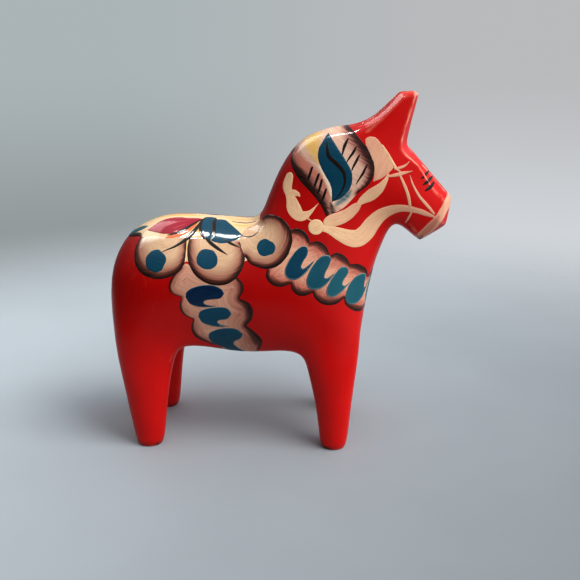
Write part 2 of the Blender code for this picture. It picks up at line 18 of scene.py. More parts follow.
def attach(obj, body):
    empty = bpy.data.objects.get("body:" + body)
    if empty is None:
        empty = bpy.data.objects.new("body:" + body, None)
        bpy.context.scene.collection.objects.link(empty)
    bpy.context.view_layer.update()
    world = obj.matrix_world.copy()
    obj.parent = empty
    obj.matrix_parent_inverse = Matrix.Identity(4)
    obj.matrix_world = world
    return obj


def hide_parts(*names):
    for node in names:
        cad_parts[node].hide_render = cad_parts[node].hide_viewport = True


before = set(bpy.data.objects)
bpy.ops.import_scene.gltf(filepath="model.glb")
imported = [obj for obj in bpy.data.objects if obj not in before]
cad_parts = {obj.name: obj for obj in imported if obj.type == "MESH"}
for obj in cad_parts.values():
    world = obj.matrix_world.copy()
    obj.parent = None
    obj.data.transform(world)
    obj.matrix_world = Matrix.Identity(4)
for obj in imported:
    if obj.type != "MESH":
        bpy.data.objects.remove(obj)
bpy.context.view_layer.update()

MM = 0.001
FAR = 90.0  # outside the horse, in any direction from its middle plane, in millimetres
BODY = "root"
SIDES = ((1, "right"), (-1, "left"))

# ---------------------------------------------------------------- the wood, in millimetres and degrees
BODY_LEVELS = 2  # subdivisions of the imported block
KNIFE_ANGLE, KNIFE_CREASE = 24, 0.42  # least angle between faces at a knife edge, and how crisp it stays
HEAD_ANGLE, HEAD_CREASE = 13.5, 0.92  # the same on the head, which is carved crisper
# The head lies above and ahead of one place, or ahead of the other.
HEAD_FROM, NOSE_FROM = Vector((28, 88)), 47.5
BROW = (Vector((43.3, 111)), Vector((58.3, 93.3)))  # knife edge from the brow to the nose, in side view
BROW_SHARE = 0.8  # the part of that edge that rises
BROW_RISE = 1.7  # how far it rises
BROW_NEAR, BROW_ASIDE = 0.6, 4.0  # which points lie on it: near it in side view, and this far off the middle
WEAR_AND_SHEEN_REACH = 1.3  # how far from a knife edge the paint shows wear and a painted highlight
SOLE_CREASE, SOLE_HEIGHT = 0.75, 0.02
FLAT_HEIGHT = 4.0  # the carving's unevenness fades out below this height
WAVES = ((9.0, 0.10), (3.6, 0.025))  # unevenness of the carving: wavelength and height

# ---------------------------------------------------------------- the paint, in millimetres
STEP = 0.6  # spacing of points in a film
GRID_GAP = 0.75  # steps that the inner points keep from the outline
RIM_ROW = 0.22  # a row of points runs this far inside an outline
COAT = 0.035  # each coat lies this much higher than the one under it
FIRST_TOP = 0.05
DIP = 0.02  # how far a film's edge dips under the top of the coat below
BED = -0.16  # underside of every film, inside the wood
TAPER = 0.45  # distance from its edge where a film has its full height
UNRIMMED = 9.0  # rim widths from a rim where there is none
LEAST_TOUCH, LEAST_WIDTH = 0.05, 0.04  # half widths
TOUCH_SOFTNESS = 1.25  # half widths where a soft touch fades out
ROUND_ENDS = (0.1, 0.3, 0.6)  # extra rows at a stroke's ends, in half widths
FLOW_ROUND = 8.0  # length of a radian round a centre
DAB_POINTS, DAB_WAVES, DAB_RAGGED = 40, 1.6, 0.12
SEED_STEP = 7.3  # keeps the brush marks of two strokes apart
CHUNK = 400  # points measured at once

# A chart's axis in side view: a place on it, its direction, the direction of the middle line, and its ends.
AXES = {
    "barrel": (Vector((0, 60)), Vector((1, 0)), Vector((0, 1)), (-60, 14)),
    "chest": (Vector((12, 0)), Vector((0, 1)), Vector((1, 0)), (42, 88)),
    "neck": (Vector((22, 90)), Vector((0.45, 0.89)), Vector((-0.89, 0.45)), (-10, 30)),
    "muzzle": (Vector((47, 96)), Vector((0.79, -0.61)), Vector((0.61, 0.79)), (-6, 18)),
}
TABLE_STEP = 1.0
TABLE_TURNS = 121


def smoothstep(value):
    value = np.clip(value, 0.0, 1.0)
    return value * value * (3 - 2 * value)


def lengths_of(vectors):
    return np.linalg.norm(vectors, axis=-1)


def linked(name, data):
    thing = bpy.data.objects.new(name, data)
    bpy.context.scene.collection.objects.link(thing)
    return thing


# ---------------------------------------------------------------- the carved body
def raise_brow(mesh, knife):
    """Curves the straight knife edge beside the forehead outwards into a brow."""
    start, end = BROW
    run = end - start
    outwards = Vector((-run.y, run.x)).normalized()
    for vert in mesh.verts:
        away = Vector((vert.co.x, vert.co.z)) / MM - start
        along = away.dot(run) / run.length_squared
        near = abs(away.dot(outwards)) < BROW_NEAR and abs(vert.co.y) > BROW_ASIDE * MM
        if vert in knife and near and 0 < along < BROW_SHARE:
            rise = BROW_RISE * sin(pi * along / BROW_SHARE) ** 2 * MM
            vert.co += Vector((outwards.x, 0, outwards.y)) * rise


def crease_knife_edges(mesh):
    crease = mesh.edges.layers.float.new("crease_edge")
    knife = set()
    for edge in mesh.edges:
        x, z = (min(vert.co[axis] for vert in edge.verts) / MM for axis in (0, 2))
        on_head = (x > HEAD_FROM.x and z > HEAD_FROM.y) or x > NOSE_FROM
        sharpest = HEAD_ANGLE if on_head else KNIFE_ANGLE
        if not edge.is_convex or edge.calc_face_angle(0.0) < radians(sharpest):
            continue
        on_sole = max(vert.co.z for vert in edge.verts) < SOLE_HEIGHT * MM
        edge[crease] = SOLE_CREASE if on_sole else HEAD_CREASE if on_head else KNIFE_CREASE
        knife.update(edge.verts)
    return knife


def creased_block():
    """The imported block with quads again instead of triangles, and with its knife edges creased."""
    mesh = bmesh.new()
    mesh.from_mesh(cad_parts["carved_horse"].data)
    bmesh.ops.remove_doubles(mesh, verts=mesh.verts, dist=1e-6)
    bmesh.ops.join_triangles(mesh, faces=mesh.faces, angle_face_threshold=pi, angle_shape_threshold=pi)
    soles = [face for face in mesh.faces if max(vert.co.z for vert in face.verts) < SOLE_HEIGHT * MM]
    bmesh.ops.dissolve_faces(mesh, faces=soles)
    raise_brow(mesh, crease_knife_edges(mesh))
    data = bpy.data.meshes.new("block")
    mesh.to_mesh(data)
    mesh.free()
    return linked("block", data)


def subdivided(block):
    smooth = block.modifiers.new("smooth", "SUBSURF")
    smooth.levels = smooth.render_levels = BODY_LEVELS
    graph = bpy.context.evaluated_depsgraph_get()
    fine = bpy.data.meshes.new_from_object(block.evaluated_get(graph))
    bpy.data.objects.remove(block)
    return fine


def carve_unevenly(mesh):
    places, normals = np.empty(len(mesh.vertices) * 3), np.empty(len(mesh.vertices) * 3)
    mesh.vertices.foreach_get("co", places)
    mesh.vertices.foreach_get("normal", normals)
    places = places.reshape(-1, 3)
    uneven = np.array(
        [sum(height * noise.noise(Vector(place) / (MM * wave)) for wave, height in WAVES) for place in places]
    )
    uneven *= smoothstep(places[:, 2] / (FLAT_HEIGHT * MM)) * MM
    places += normals.reshape(-1, 3) * uneven[:, None]
    mesh.vertices.foreach_set("co", places.ravel())


def mark_wear_and_sheen(mesh):
    """Marks how near every place is to a knife edge, for wear and a painted highlight there: 1 on the crisp
    edges of the head, falling to 0.
    """
    creases = np.empty(len(mesh.edges))
    mesh.attributes["crease_edge"].data.foreach_get("value", creases)
    strengths = {}
    for index in np.flatnonzero(creases):
        for end in mesh.edges[index].vertices:
            strengths[end] = float(creases[index]) / HEAD_CREASE
    tree = KDTree(len(strengths))
    for index in strengths:
        tree.insert(mesh.vertices[index].co, index)
    tree.balance()
    edge_wear_and_sheen = []
    for vertex in mesh.vertices:
        _, index, distance = tree.find(vertex.co)
        edge_wear_and_sheen.append(strengths[index] * max(0.0, 1 - distance / (WEAR_AND_SHEEN_REACH * MM)))
    mesh.attributes.new("edge_wear_and_sheen", "FLOAT", "POINT").data.foreach_set("value", edge_wear_and_sheen)


def carved_body():
    mesh = subdivided(creased_block())
    carve_unevenly(mesh)
    mark_wear_and_sheen(mesh)
    mesh.shade_smooth()
    mesh.name = "lacquered_body"
    return linked("lacquered_body", mesh)


class Surface:
    """The wood's surface, in millimetres, for laying films on it.

    A chart is a sleeve round an axis in the middle plane, or the plain side view, called "side".
    """

    def __init__(self, mesh):
        points = [vertex.co / MM for vertex in mesh.vertices]
        faces = [tuple(face.vertices) for face in mesh.polygons]
        self.tree = BVHTree.FromPolygons(points, faces)
        self.tables = {}

    def hit(self, start, towards, fallback):
        place, normal, _, _ = self.tree.ray_cast(start, towards)
        return (place, normal) if place else self.tree.find_nearest(fallback)[:2]

    def side(self, x, z, side):
        """The outermost place at (x, z) and its normal, seen from the right (side 1) or the left (-1)."""
        return self.hit(Vector((x, -side * FAR, z)), Vector((0, side, 0)), Vector((x, 0, z)))

    def ray(self, name, along, turn):
        """The place that a ray from the axis meets, turned away from the middle line."""
        point, axis, middle, _ = AXES[name]
        centre = point + axis.normalized() * along
        towards = middle.normalized() * cos(turn)
        start = Vector((centre.x, 0, centre.y))
        return self.hit(start, Vector((towards.x, -sin(turn), towards.y)), start)

    def table(self, name):
        """For even places along a sleeve, the length round the surface from the middle line at even turns."""
        if name not in self.tables:
            low, high = AXES[name][3]
            rows = np.arange(low, high + TABLE_STEP, TABLE_STEP)
            turns = np.linspace(0, pi, TABLE_TURNS)
            lengths = []
            for row in rows:
                places = np.array([self.ray(name, row, turn)[0] for turn in turns])
                lengths.append(np.concatenate([[0], np.cumsum(lengths_of(np.diff(places, axis=0)))]))
            self.tables[name] = (rows, turns, lengths)
        return self.tables[name]

    def sleeve(self, name, along, around):
        """The place at a length round the surface from the middle line, positive on the right side."""
        rows, turns, lengths = self.table(name)
        at = min(max((along - rows[0]) / TABLE_STEP, 0.0), len(rows) - 1.001)
        row, part = int(at), at - int(at)
        low, high = (np.interp(abs(around), lengths[row + i], turns) for i in (0, 1))
        turn = float(low + (high - low) * part)
        return self.ray(name, along, turn if around >= 0 else -turn)

    def lay(self, chart, u, v, side):
        return self.side(u, v, side) if chart == "side" else self.sleeve(chart, u, v * side)


# ---------------------------------------------------------------- flat shapes
TINTS = ("gold", "rose", "pale", "teal", "dark")


class Sheet:
    """A flat shape on a chart: its points, its faces and what the paint needs to know at each point.

    edge is the distance to the shape's edge and shade the distance to its dark rim in rim widths. flow is the
    place along and across the brush, and load how much paint the brush still held, from 1 down to 0. A tint
    says how much of another colour was worked in while the paint was wet; the pale tint on the rear petal is a
    painted glare of the window instead.
    """

    def __init__(self, points, faces, edge, shade, flow, load, tints=()):
        self.points, self.faces, self.flow = points, faces, flow
        self.values = {"edge": edge, "shade": shade, "load": load}
        for name in TINTS:
            touches = [soft_touch(points, stations) for tint, stations in tints if tint == name]
            self.values[name] = np.max(touches, axis=0) if touches else np.zeros(len(points))


def soft_touch(points, stations):
    """From 1 on a soft touch of the brush down to 0 beyond its half width."""
    dense = np.vstack([smooth_run(stations, STEP), [stations[-1]]])
    both_sides = np.stack([points[:, 0], np.abs(points[:, 1])], 1)
    gap = lengths_of(both_sides[:, None, :] - dense[None, :, :2]) / np.maximum(dense[:, 2], LEAST_TOUCH)
    return smoothstep(TOUCH_SOFTNESS - gap.min(1))


def smooth_run(points, step):
    """Points about a step apart on a smooth curve through a run's points, without its last point."""
    points = np.array(points, float)
    before = np.vstack([points[:1] * 2 - points[1:2], points[:-1]])
    after = np.vstack([points[1:], points[-1:] * 2 - points[-2:-1]])
    dense = []
    for i in range(len(points) - 1):
        start, end = points[i], points[i + 1]
        out, into = (end - before[i]) / 2, (after[i + 1] - start) / 2
        count = max(1, round(hypot(*(end - start)[:2]) / step))
        for t in np.arange(count) / count:
            dense.append(
                start * (2 * t**3 - 3 * t**2 + 1)
                + out * (t**3 - 2 * t**2 + t)
                + end * (3 * t**2 - 2 * t**3)
                + into * (t**3 - t**2)
            )
    return np.array(dense)


def rim_profile(count, width):
    """A dark rim's width along a run: full in its middle and thinner towards the cusps."""
    return width * (0.45 + 0.55 * np.sin(pi * (np.arange(count) + 0.5) / count))


def nearest_on(outline, points):
    """For each point, its distance to a closed outline, and the place along it of the nearest spot."""
    spans = np.roll(outline, -1, axis=0) - outline
    lengths = np.maximum(lengths_of(spans), 1e-9)
    travelled = np.concatenate([[0], np.cumsum(lengths)[:-1]])
    distance, along = [], []
    for chunk in np.array_split(points, max(1, len(points) // CHUNK)):
        away = chunk[:, None, :] - outline[None]
        part = np.clip((away * spans[None]).sum(2) / lengths[None] ** 2, 0, 1)
        gap = lengths_of(away - part[..., None] * spans[None])
        best = gap.argmin(1)
        rows = np.arange(len(chunk))
        distance.append(gap[rows, best])
        along.append(travelled[best] + part[rows, best] * lengths[best])
    return np.concatenate(distance), np.concatenate(along)


def inside(points, outline):
    ends = np.roll(outline, -1, axis=0)
    x, y = points[:, :1], points[:, 1:]
    crosses = (outline[:, 1] > y) != (ends[:, 1] > y)
    rise = np.where(ends[:, 1] == outline[:, 1], 1e-12, ends[:, 1] - outline[:, 1])
    at = outline[:, 0] + (ends[:, 0] - outline[:, 0]) * (y - outline[:, 1]) / rise
    return ((crosses & (x < at)).sum(1) % 2).astype(bool)


def directions(line):
    """Unit vectors along a line, from the differences of its points."""
    return line / np.maximum(lengths_of(line), 1e-9)[:, None]


def smooth_outline(runs, step, mirrored):
    """Dense points round an outline and the rim's width at each, with the left half added if mirrored."""
    outline = [smooth_run(points, step) for points, _ in runs]
    rims = [rim_profile(len(dense), rim) for dense, (_, rim) in zip(outline, runs)]
    outline, rims = np.vstack(outline), np.concatenate(rims)
    if mirrored:
        last = np.array([runs[-1][0][-1]], float)
        outline = np.vstack([outline, last, outline[:0:-1] * (1, -1)])
        rims = np.concatenate([rims, rims[-1:], rims[:0:-1]])
    return outline, rims


def triangle_grid(outline, step):
    """Points a step apart, in even triangles, that fill an outline."""
    low, high = outline.min(0), outline.max(0)
    rise = step * sin(radians(60))
    grid = [
        (low[0] + (column - 0.5 * (row % 2)) * step, low[1] + row * rise)
        for row in range(int((high[1] - low[1]) / rise) + 1)
        for column in range(int((high[0] - low[0]) / step) + 2)
    ]
    grid = np.array(grid)
    grid = grid[inside(grid, outline)]
    return grid[nearest_on(outline, grid)[0] > step * GRID_GAP]


def inner_row(outline):
    """A row of points just inside an outline."""
    ahead = directions(np.roll(outline, -1, axis=0) - np.roll(outline, 1, axis=0))
    area = (outline[:, 0] * np.roll(outline[:, 1], -1) - outline[:, 1] * np.roll(outline[:, 0], -1)).sum()
    inward = np.stack([-ahead[:, 1], ahead[:, 0]], 1) * (1 if area > 0 else -1)
    row = outline + inward * RIM_ROW
    return row[inside(row, outline) & (nearest_on(outline, row)[0] > RIM_ROW * 0.8)]


def brush_lines(points, flow, edge, along):
    """The place along and across the brush: at an angle in degrees, round a centre, or along the rim."""
    if flow is None:
        return np.stack([along, edge], 1)
    if isinstance(flow, (int, float)):
        turn = radians(flow)
        return points @ np.array([[cos(turn), -sin(turn)], [sin(turn), cos(turn)]])
    away = points - np.array(flow)
    return np.stack([np.arctan2(away[:, 1], away[:, 0]) * FLOW_ROUND, lengths_of(away)], 1)


def panel(runs, flow=None, step=STEP, mirrored=False, load=1.0, tints=()):
    """A filled outline. Each run is its points and the width of its dark rim."""
    outline, rims = smooth_outline(runs, step, mirrored)
    flat = np.vstack([outline, inner_row(outline), triangle_grid(outline, step)])
    given = [Vector(point) for point in flat]
    count = len(outline)
    points, _, faces, *_ = delaunay_2d_cdt(given, [(i, (i + 1) % count) for i in range(count)], [], 1, 1e-5)
    points = np.array(points)
    edge, along = nearest_on(outline, points)
    shade = np.full(len(points), UNRIMMED)
    rimmed = rims > 0
    if rimmed.any():
        # How many rim widths away the nearest part of the rim is.
        away = lengths_of(points[:, None, :] - outline[None, rimmed]) / rims[rimmed]
        shade = np.minimum(away.min(1), UNRIMMED)
    faces = [tuple(face) for face in faces]
    lines = brush_lines(points, flow, edge, along)
    return Sheet(points, faces, edge, shade, lines, np.full(len(points), load), tints)


def stroke(stations, load=(1.0, 1.0)):
    """One pull of the brush through stations of (u, v, half width), round or pointed at its ends."""
    dense = np.vstack([smooth_run(stations, STEP), [stations[-1]]])
    spots, widths = dense[:, :2], np.maximum(dense[:, 2], LEAST_WIDTH)
    travelled = np.concatenate([[0], np.cumsum(lengths_of(np.diff(spots, axis=0)))])
    total, first, last = travelled[-1], widths[0], widths[-1]
    ends = [first * part for part in ROUND_ENDS] + [total - last * part for part in ROUND_ENDS]
    at = np.unique(np.round(np.clip(np.concatenate([travelled, ends]), 0, total), 4))
    spots = np.stack([np.interp(at, travelled, spots[:, axis]) for axis in (0, 1)], 1)
    widths = np.interp(at, travelled, widths)
    for width, away in ((first, at), (last, total - at)):
        widths = widths * np.sqrt(np.clip(1 - np.clip(1 - away / width, 0, 1) ** 2, 0, 1))
    ahead = directions(np.gradient(spots, axis=0))
    across = np.stack([-ahead[:, 1], ahead[:, 0]], 1)
    shares = np.sin(np.linspace(-pi / 2, pi / 2, max(4, 2 * int(widths.max() / STEP + 1)) + 1))
    points, edge, lines = [spots[0]], [0.0], [(0, 0)]
    for i in range(1, len(at) - 1):
        for share in shares:
            points.append(spots[i] + across[i] * widths[i] * share)
            edge.append((1 - abs(share)) * widths[i])
            lines.append((at[i], widths[i] * share))
    points = np.array(points + [spots[-1]])
    edge = np.array(edge + [0.0])
    lines = np.array(lines + [(total, 0)])
    load_at = load[0] + (load[1] - load[0]) * lines[:, 0] / total
    faces = stroke_faces(len(shares), len(at) - 2)
    return Sheet(points, faces, edge, np.full(len(points), UNRIMMED), lines, load_at)


def stroke_faces(width, rows):
    """Faces between rows of points, with a fan at either end."""
    faces = []
    final, last_row = 1 + rows * width, 1 + (rows - 1) * width
    for j in range(width - 1):
        faces.append((0, 1 + j, 2 + j))
        faces.append((final, last_row + j + 1, last_row + j))
    for i in range(rows - 1):
        for j in range(width - 1):
            a = 1 + i * width + j
            faces.append((a, a + width, a + width + 1, a + 1))
    return faces


def dab(centre, radii, tilt, seed):
    """A round dab of the brush, with an edge that is a little ragged."""
    ring = []
    turned = cos(radians(tilt)), sin(radians(tilt))
    for i in range(DAB_POINTS + 1):
        turn = 2 * pi * i / DAB_POINTS
        bump = noise.noise(Vector((cos(turn) * DAB_WAVES, sin(turn) * DAB_WAVES, seed)))
        reach = 1 + DAB_RAGGED * bump
        x, y = (radius * share * reach for radius, share in zip(radii, (cos(turn), sin(turn))))
        ring.append((centre[0] + x * turned[0] - y * turned[1], centre[1] + x * turned[1] + y * turned[0]))
    ring[-1] = ring[0]
    return panel([(ring, 0)], flow=tilt + 60, load=0.5)


# ---------------------------------------------------------------- laying a film on the wood
def lay_film(name, surface, chart, side, sheets, coat, seed):
    """One object of closed films, one for each sheet, each following the wood."""
    top = FIRST_TOP + coat * COAT
    foot = top - COAT - DIP if coat else -DIP
    places, faces, flows = [], [], []
    values = {name: [] for name in ("edge", "shade", "load", *TINTS)}
    for number, sheet in enumerate(sheets):
        heights = foot + (top - foot) * smoothstep(sheet.values["edge"] / TAPER)
        found = [surface.lay(chart, u, v, side) for u, v in sheet.points]
        base = len(places)
        count = len(found)
        for level in (heights, np.full(count, BED)):
            places.extend(place + normal * height for (place, normal), height in zip(found, level))
            flows.extend((u, v, (seed + number) * SEED_STEP) for u, v in sheet.flow)
            for key, column in values.items():
                column.extend(sheet.values[key])
        across = {}
        for face in sheet.faces:
            faces.append([base + i for i in face])
            faces.append([base + count + i for i in reversed(face)])
            for a, b in zip(face, face[1:] + face[:1]):
                across[a, b] = True
        for a, b in across:
            if (b, a) not in across:
                faces.append([base + b, base + a, base + count + a, base + count + b])
    data = bpy.data.meshes.new(name)
    data.from_pydata([place * MM for place in places], [], faces)
    for key, column in values.items():
        data.attributes.new(key, "FLOAT", "POINT").data.foreach_set("value", np.array(column, np.float32))
    flow = data.attributes.new("flow", "FLOAT_VECTOR", "POINT")
    flow.data.foreach_set("vector", np.array(flows, np.float32).ravel())
    turned = bmesh.new()
    turned.from_mesh(data)
    bmesh.ops.recalc_face_normals(turned, faces=turned.faces)
    turned.to_mesh(data)
    turned.free()
    data.shade_smooth()
    return linked(name, data)


# ---------------------------------------------------------------- the painter's shapes, in chart millimetres
# On a sleeve, the first coordinate runs along the axis, and the second is the length round the wood from the
# middle line. On the side chart they are x and z. Every shape is drawn for the right side and laid again on
# the left. In a panel's runs, the last number is the width of the dark rim there. In a stroke, it is the half
# width of the brush.
SADDLE_GROUND = (
    (((-57, 0), (-56, 3), (-53, 6.5), (-50.5, 9)), 0),
    (((-50.5, 9), (-51.6, 13), (-50, 20), (-44, 26), (-36, 25.6), (-32.4, 24)), 0),
    (((-32.4, 24), (-28, 27), (-21, 28), (-15, 26), (-12.6, 23.5)), 0),
    (((-12.6, 23.5), (-9.6, 22), (-7.4, 17), (-7, 10), (-7, 5)), 0),
    (((-7, 5), (-7, 0)), 0),
)
REAR_PETAL = (
    (((-50.8, 9.8), (-52.2, 13), (-52.3, 17), (-51.3, 21.4), (-48.8, 25.8), (-45, 29), (-41, 30), (-37, 29),
      (-34.2, 26.6), (-33, 23.4), (-32.8, 20.4)), 2.0),
    (((-32.8, 20.4), (-32.8, 18), (-32.9, 14.6)), 1.0),
    (((-32.9, 14.6), (-36, 13.4), (-41, 14), (-46, 12), (-50.8, 9.8)), 0),
)
MIDDLE_PETAL = (
    (((-32.1, 14.4), (-32.5, 19), (-31.9, 24), (-29.6, 28.4), (-26, 31), (-22, 31.9), (-18, 31.3),
      (-14.6, 29), (-12.3, 25.4), (-11.6, 21.8), (-12.2, 18), (-13.6, 15.2)), 1.9),
    (((-13.6, 15.2), (-18, 14), (-24, 13.6), (-32.1, 14.4)), 0),
)
WITHERS_PETAL = (
    (((-11.4, 73), (-9.6, 71), (-7, 69.9), (-4.2, 69.3), (-1.4, 69.6), (1.2, 71), (3.4, 73.4), (4.8, 76),
      (5.5, 79), (5, 82), (3.6, 84.4), (1.4, 86.3), (-1.4, 87.2), (-4.2, 86.8), (-6, 85.4)), 2.0),
    (((-6, 85.4), (-8.4, 83), (-12, 81.4), (-14, 78), (-13.2, 75), (-11.4, 73)), 0),
)
GIRTH_GROUND = (
    (((-34.4, 26.4), (-37.4, 29.2), (-39, 33), (-37.8, 35.8), (-34.4, 37)), 0.9),
    (((-34.4, 37), (-35.2, 40.4), (-34, 43.6), (-30.6, 45.4)), 0.9),
    (((-30.6, 45.4), (-31.4, 49.4), (-30, 53), (-26, 55.8), (-21.6, 57.8)), 1.3),
    (((-21.6, 57.8), (-21.2, 63), (-19, 68)), 0.8),
    (((-19, 68), (-10, 68)), 0),
    (((-10, 68), (-7.6, 63), (-6.6, 60)), 0.7),
    (((-6.6, 60), (-5.4, 57), (-6.6, 53), (-8.8, 49.4), (-11, 47)), 2.6),
    (((-11, 47), (-8.8, 44.4), (-8.6, 41), (-10.2, 38), (-13.4, 36.2)), 2.8),
    (((-13.4, 36.2), (-11.8, 33.6), (-12.2, 30.6), (-15, 28)), 1.8),
    (((-15, 28), (-21, 28.6), (-28, 27.8), (-32.4, 24.6), (-34.4, 26.4)), 0),
)
BREAST_GROUND = (
    (((50.5, 0), (50.6, 4.5), (52.6, 9)), 2.0),
    (((52.6, 9), (51.8, 12), (52.4, 16), (54, 19), (56, 21), (58, 21.4)), 2.1),
    (((58, 21.4), (56.4, 24), (56, 27.1), (56.8, 30), (58.8, 32.3), (60.8, 33)), 2.3),
    (((60.8, 33), (59.7, 35.8), (60, 38.4), (62, 40.6), (64, 41.1)), 2.2),
    (((64, 41.1), (62.9, 44.4), (63.4, 47.2), (65, 49.2), (67, 50.2), (69.4, 49.8)), 2.0),
    (((69.4, 49.8), (73, 47), (76, 42), (78, 38), (78.4, 36)), 0),
    (((78.4, 36), (79, 33.6), (78.2, 31.2), (76.4, 29.2), (73.9, 27.8)), 2.0),
    (((73.9, 27.8), (74.8, 25.6), (73.8, 22.8), (72.2, 20.8), (70.4, 19.7)), 2.1),
    (((70.4, 19.7), (70.2, 16.6), (68.8, 13.6), (67, 11.6), (65, 10.4)), 2.0),
    (((65, 10.4), (66.8, 5), (66, 0)), 1.6),
)
BREAST_TIP = (
    (((4.4, 82.4), (6.4, 83.1), (8.4, 82.9), (10, 81.8), (11.1, 80.2), (11.6, 78.4)), 2.0),
    (((11.6, 78.4), (10, 76), (6, 74), (2, 76), (4.4, 82.4)), 0),
)
MANE_GROUND = (
    (((8.4, 0), (8, 3.5), (5.8, 6), (3.6, 10), (1.8, 14), (0.6, 18), (-0.4, 21), (-2.2, 25),
      (-4.8, 28.6)), 3.1),
    (((-4.4, 28.6), (-1.4, 31), (2, 32.6), (8, 33.4)), 0),
    (((8, 33.4), (12, 34), (15.8, 32), (19.5, 27.6), (22.7, 20), (24.9, 12), (26.4, 5), (26.6, 0)), 2.0),
)
NOSEBAND = (
    (((12.4, 0), (12.6, 6), (13.2, 12), (12.9, 18), (12.6, 22), (12.6, 25.4)), 0),
    (((12.6, 25.4), (16.3, 25.4)), 0),
    (((16.3, 25.4), (16.4, 20), (16.6, 12), (16.3, 6), (16.1, 0)), 0),
)

REAR_BLUE = (
    (((-27.4, 2.6), (-28.4, 7), (-28, 11.6), (-26.4, 14.6), (-24.2, 15.6)), 0),
    (((-24.2, 15.6), (-23.9, 9), (-23.4, 2.6)), 0),
    (((-23.4, 2.6), (-25.4, 2), (-27.4, 2.6)), 0),
)
FRONT_BLUE = (
    (((-23.2, 3.8), (-20.2, 3.8), (-18, 6.4), (-15.5, 9.5), (-12.8, 12.8)), 0),
    (((-12.8, 12.8), (-16, 15.2), (-20, 16.4), (-24.4, 15.6)), 0),
    (((-24.4, 15.6), (-23.4, 10), (-23.2, 3.8)), 0),
)
MANE_LEAF = (
    (((21.2, 5), (18, 8.3), (15, 10.6), (12, 13.6), (10, 16.5), (8, 20), (6.5, 22.8), (4.6, 25),
      (1, 27.4)), 0),
    (((1, 27.4), (3.5, 29.4), (7, 30), (10, 29), (12.6, 26.8), (14.2, 24.4), (15.6, 21.4), (17, 18),
      (18.4, 14), (19.8, 10), (21.2, 5)), 0),
)
# The scrolls, lobe by lobe. The last number of a run is the width of its pale edge, a painted highlight along
# the raised rim.
GIRTH_LOBES = (
    (
        (((-32.8, 36.8), (-32.4, 35), (-30.4, 33.4), (-27, 32.2), (-23, 31.9), (-20, 33),
          (-18.9, 34.8)), 0.3),
        (((-18.9, 34.8), (-20.4, 36.6), (-23.4, 37.2), (-25.8, 37.8), (-26.2, 38.8), (-24.4, 39.4),
          (-21.6, 39.5)), 0.3),
        (((-21.6, 39.5), (-24.6, 40.2), (-28.4, 40.3), (-31.4, 39.2), (-32.8, 36.8)), 0.5),
    ),
    (
        (((-28.5, 44), (-27.8, 42), (-25, 40.6), (-21, 39.9), (-18, 40.2), (-16.3, 42.2)), 0.3),
        (((-16.3, 42.2), (-18, 44.4), (-20.6, 45), (-21.6, 45.8), (-20.2, 46.9), (-17.2, 47.4)), 0.3),
        (((-17.2, 47.4), (-20.6, 47.9), (-24.2, 47.6), (-27.2, 46.4), (-28.5, 44)), 0.5),
    ),
    (
        (((-25.3, 53), (-24.8, 50.8), (-22, 49.1), (-18.6, 48.3), (-15, 48.5), (-12.6, 50.6)), 0.3),
        (((-12.6, 50.6), (-13.4, 52.6), (-15.6, 54.2), (-16.2, 55.8), (-14.6, 58.2), (-12.8, 61),
          (-12.4, 64.6)), 0.3),
        (((-12.4, 64.6), (-15, 66.4), (-18.6, 66), (-19, 61), (-21, 58), (-23.8, 56), (-25.3, 53)), 0.4),
    ),
)
BREAST_LOBES = (
    (
        (((11, 75.4), (10.6, 76.8), (9.2, 77.2), (7.6, 76.4), (6, 74.8)), 0.3),
        (((6, 74.8), (4.2, 72.2), (2.9, 69.6), (2.8, 67.4), (4, 65.9), (6, 65.5), (8.2, 66.2), (10.4, 68),
          (12.4, 70.6), (13.5, 72.4)), 0.6),
        (((13.5, 72.4), (12, 71.3), (10.4, 70), (9.2, 69.4), (8.6, 70), (9.4, 72), (10.6, 73.8),
          (11, 75.4)), 0.3),
    ),
    (
        (((19.3, 72.2), (18.8, 73.6), (17.4, 74), (15.8, 73.6), (14.2, 72.2)), 0.5),
        (((14.2, 72.2), (12.2, 69.6), (10.9, 66.8), (10.5, 64.4), (11.4, 62.6), (13.4, 61.9), (15.8, 62.4),
          (18, 64), (20, 66.4), (20.9, 67.8)), 0.6),
        (((20.9, 67.8), (19.6, 67), (18, 66), (17, 66.1), (17.2, 67.6), (18.4, 70), (19.3, 72.2)), 0.4),
    ),
    (
        (((25.6, 67.8), (25.2, 69.2), (23.8, 69.7), (22.4, 69.2), (21, 67.6)), 0.4),
        (((21, 67.6), (19.2, 65), (17.9, 62.4), (17.7, 60.4), (18.8, 59.1), (20.8, 59.1), (23, 60.4),
          (25.2, 62.6), (27, 64.4)), 0.6),
        (((27, 64.4), (25.6, 63.5), (24.2, 62.8), (23.5, 63.4), (24, 65), (25, 66.4), (25.6, 67.8)), 0.4),
    ),
)
CHEST_LOBES = (
    (
        (((64.4, 11.9), (66, 12.6), (66.4, 14.4), (65.4, 17.2), (62.6, 19.6)), 0.5),
        (((62.6, 19.6), (59.4, 20.7), (57, 20.4), (55.6, 18.6), (55.5, 16), (56.6, 13.4), (58.6, 11.2),
          (61.6, 9.2), (63.8, 8)), 0.6),
        (((63.8, 8), (61.6, 10.2), (60.6, 11.6), (62, 12.1), (64.4, 11.9)), 0.4),
    ),
    (
        (((65.4, 2.4), (65.6, 4.6), (63.4, 7.4)), 0.4),
        (((63.4, 7.4), (58.6, 9.2), (54.8, 8.6), (53.4, 6), (54.2, 3), (56, 0.4)), 0.6),
        (((56, 0.4), (58.6, 0.3), (60.4, 1), (63, 0.8), (65.4, 2.4)), 0.4),
    ),
)

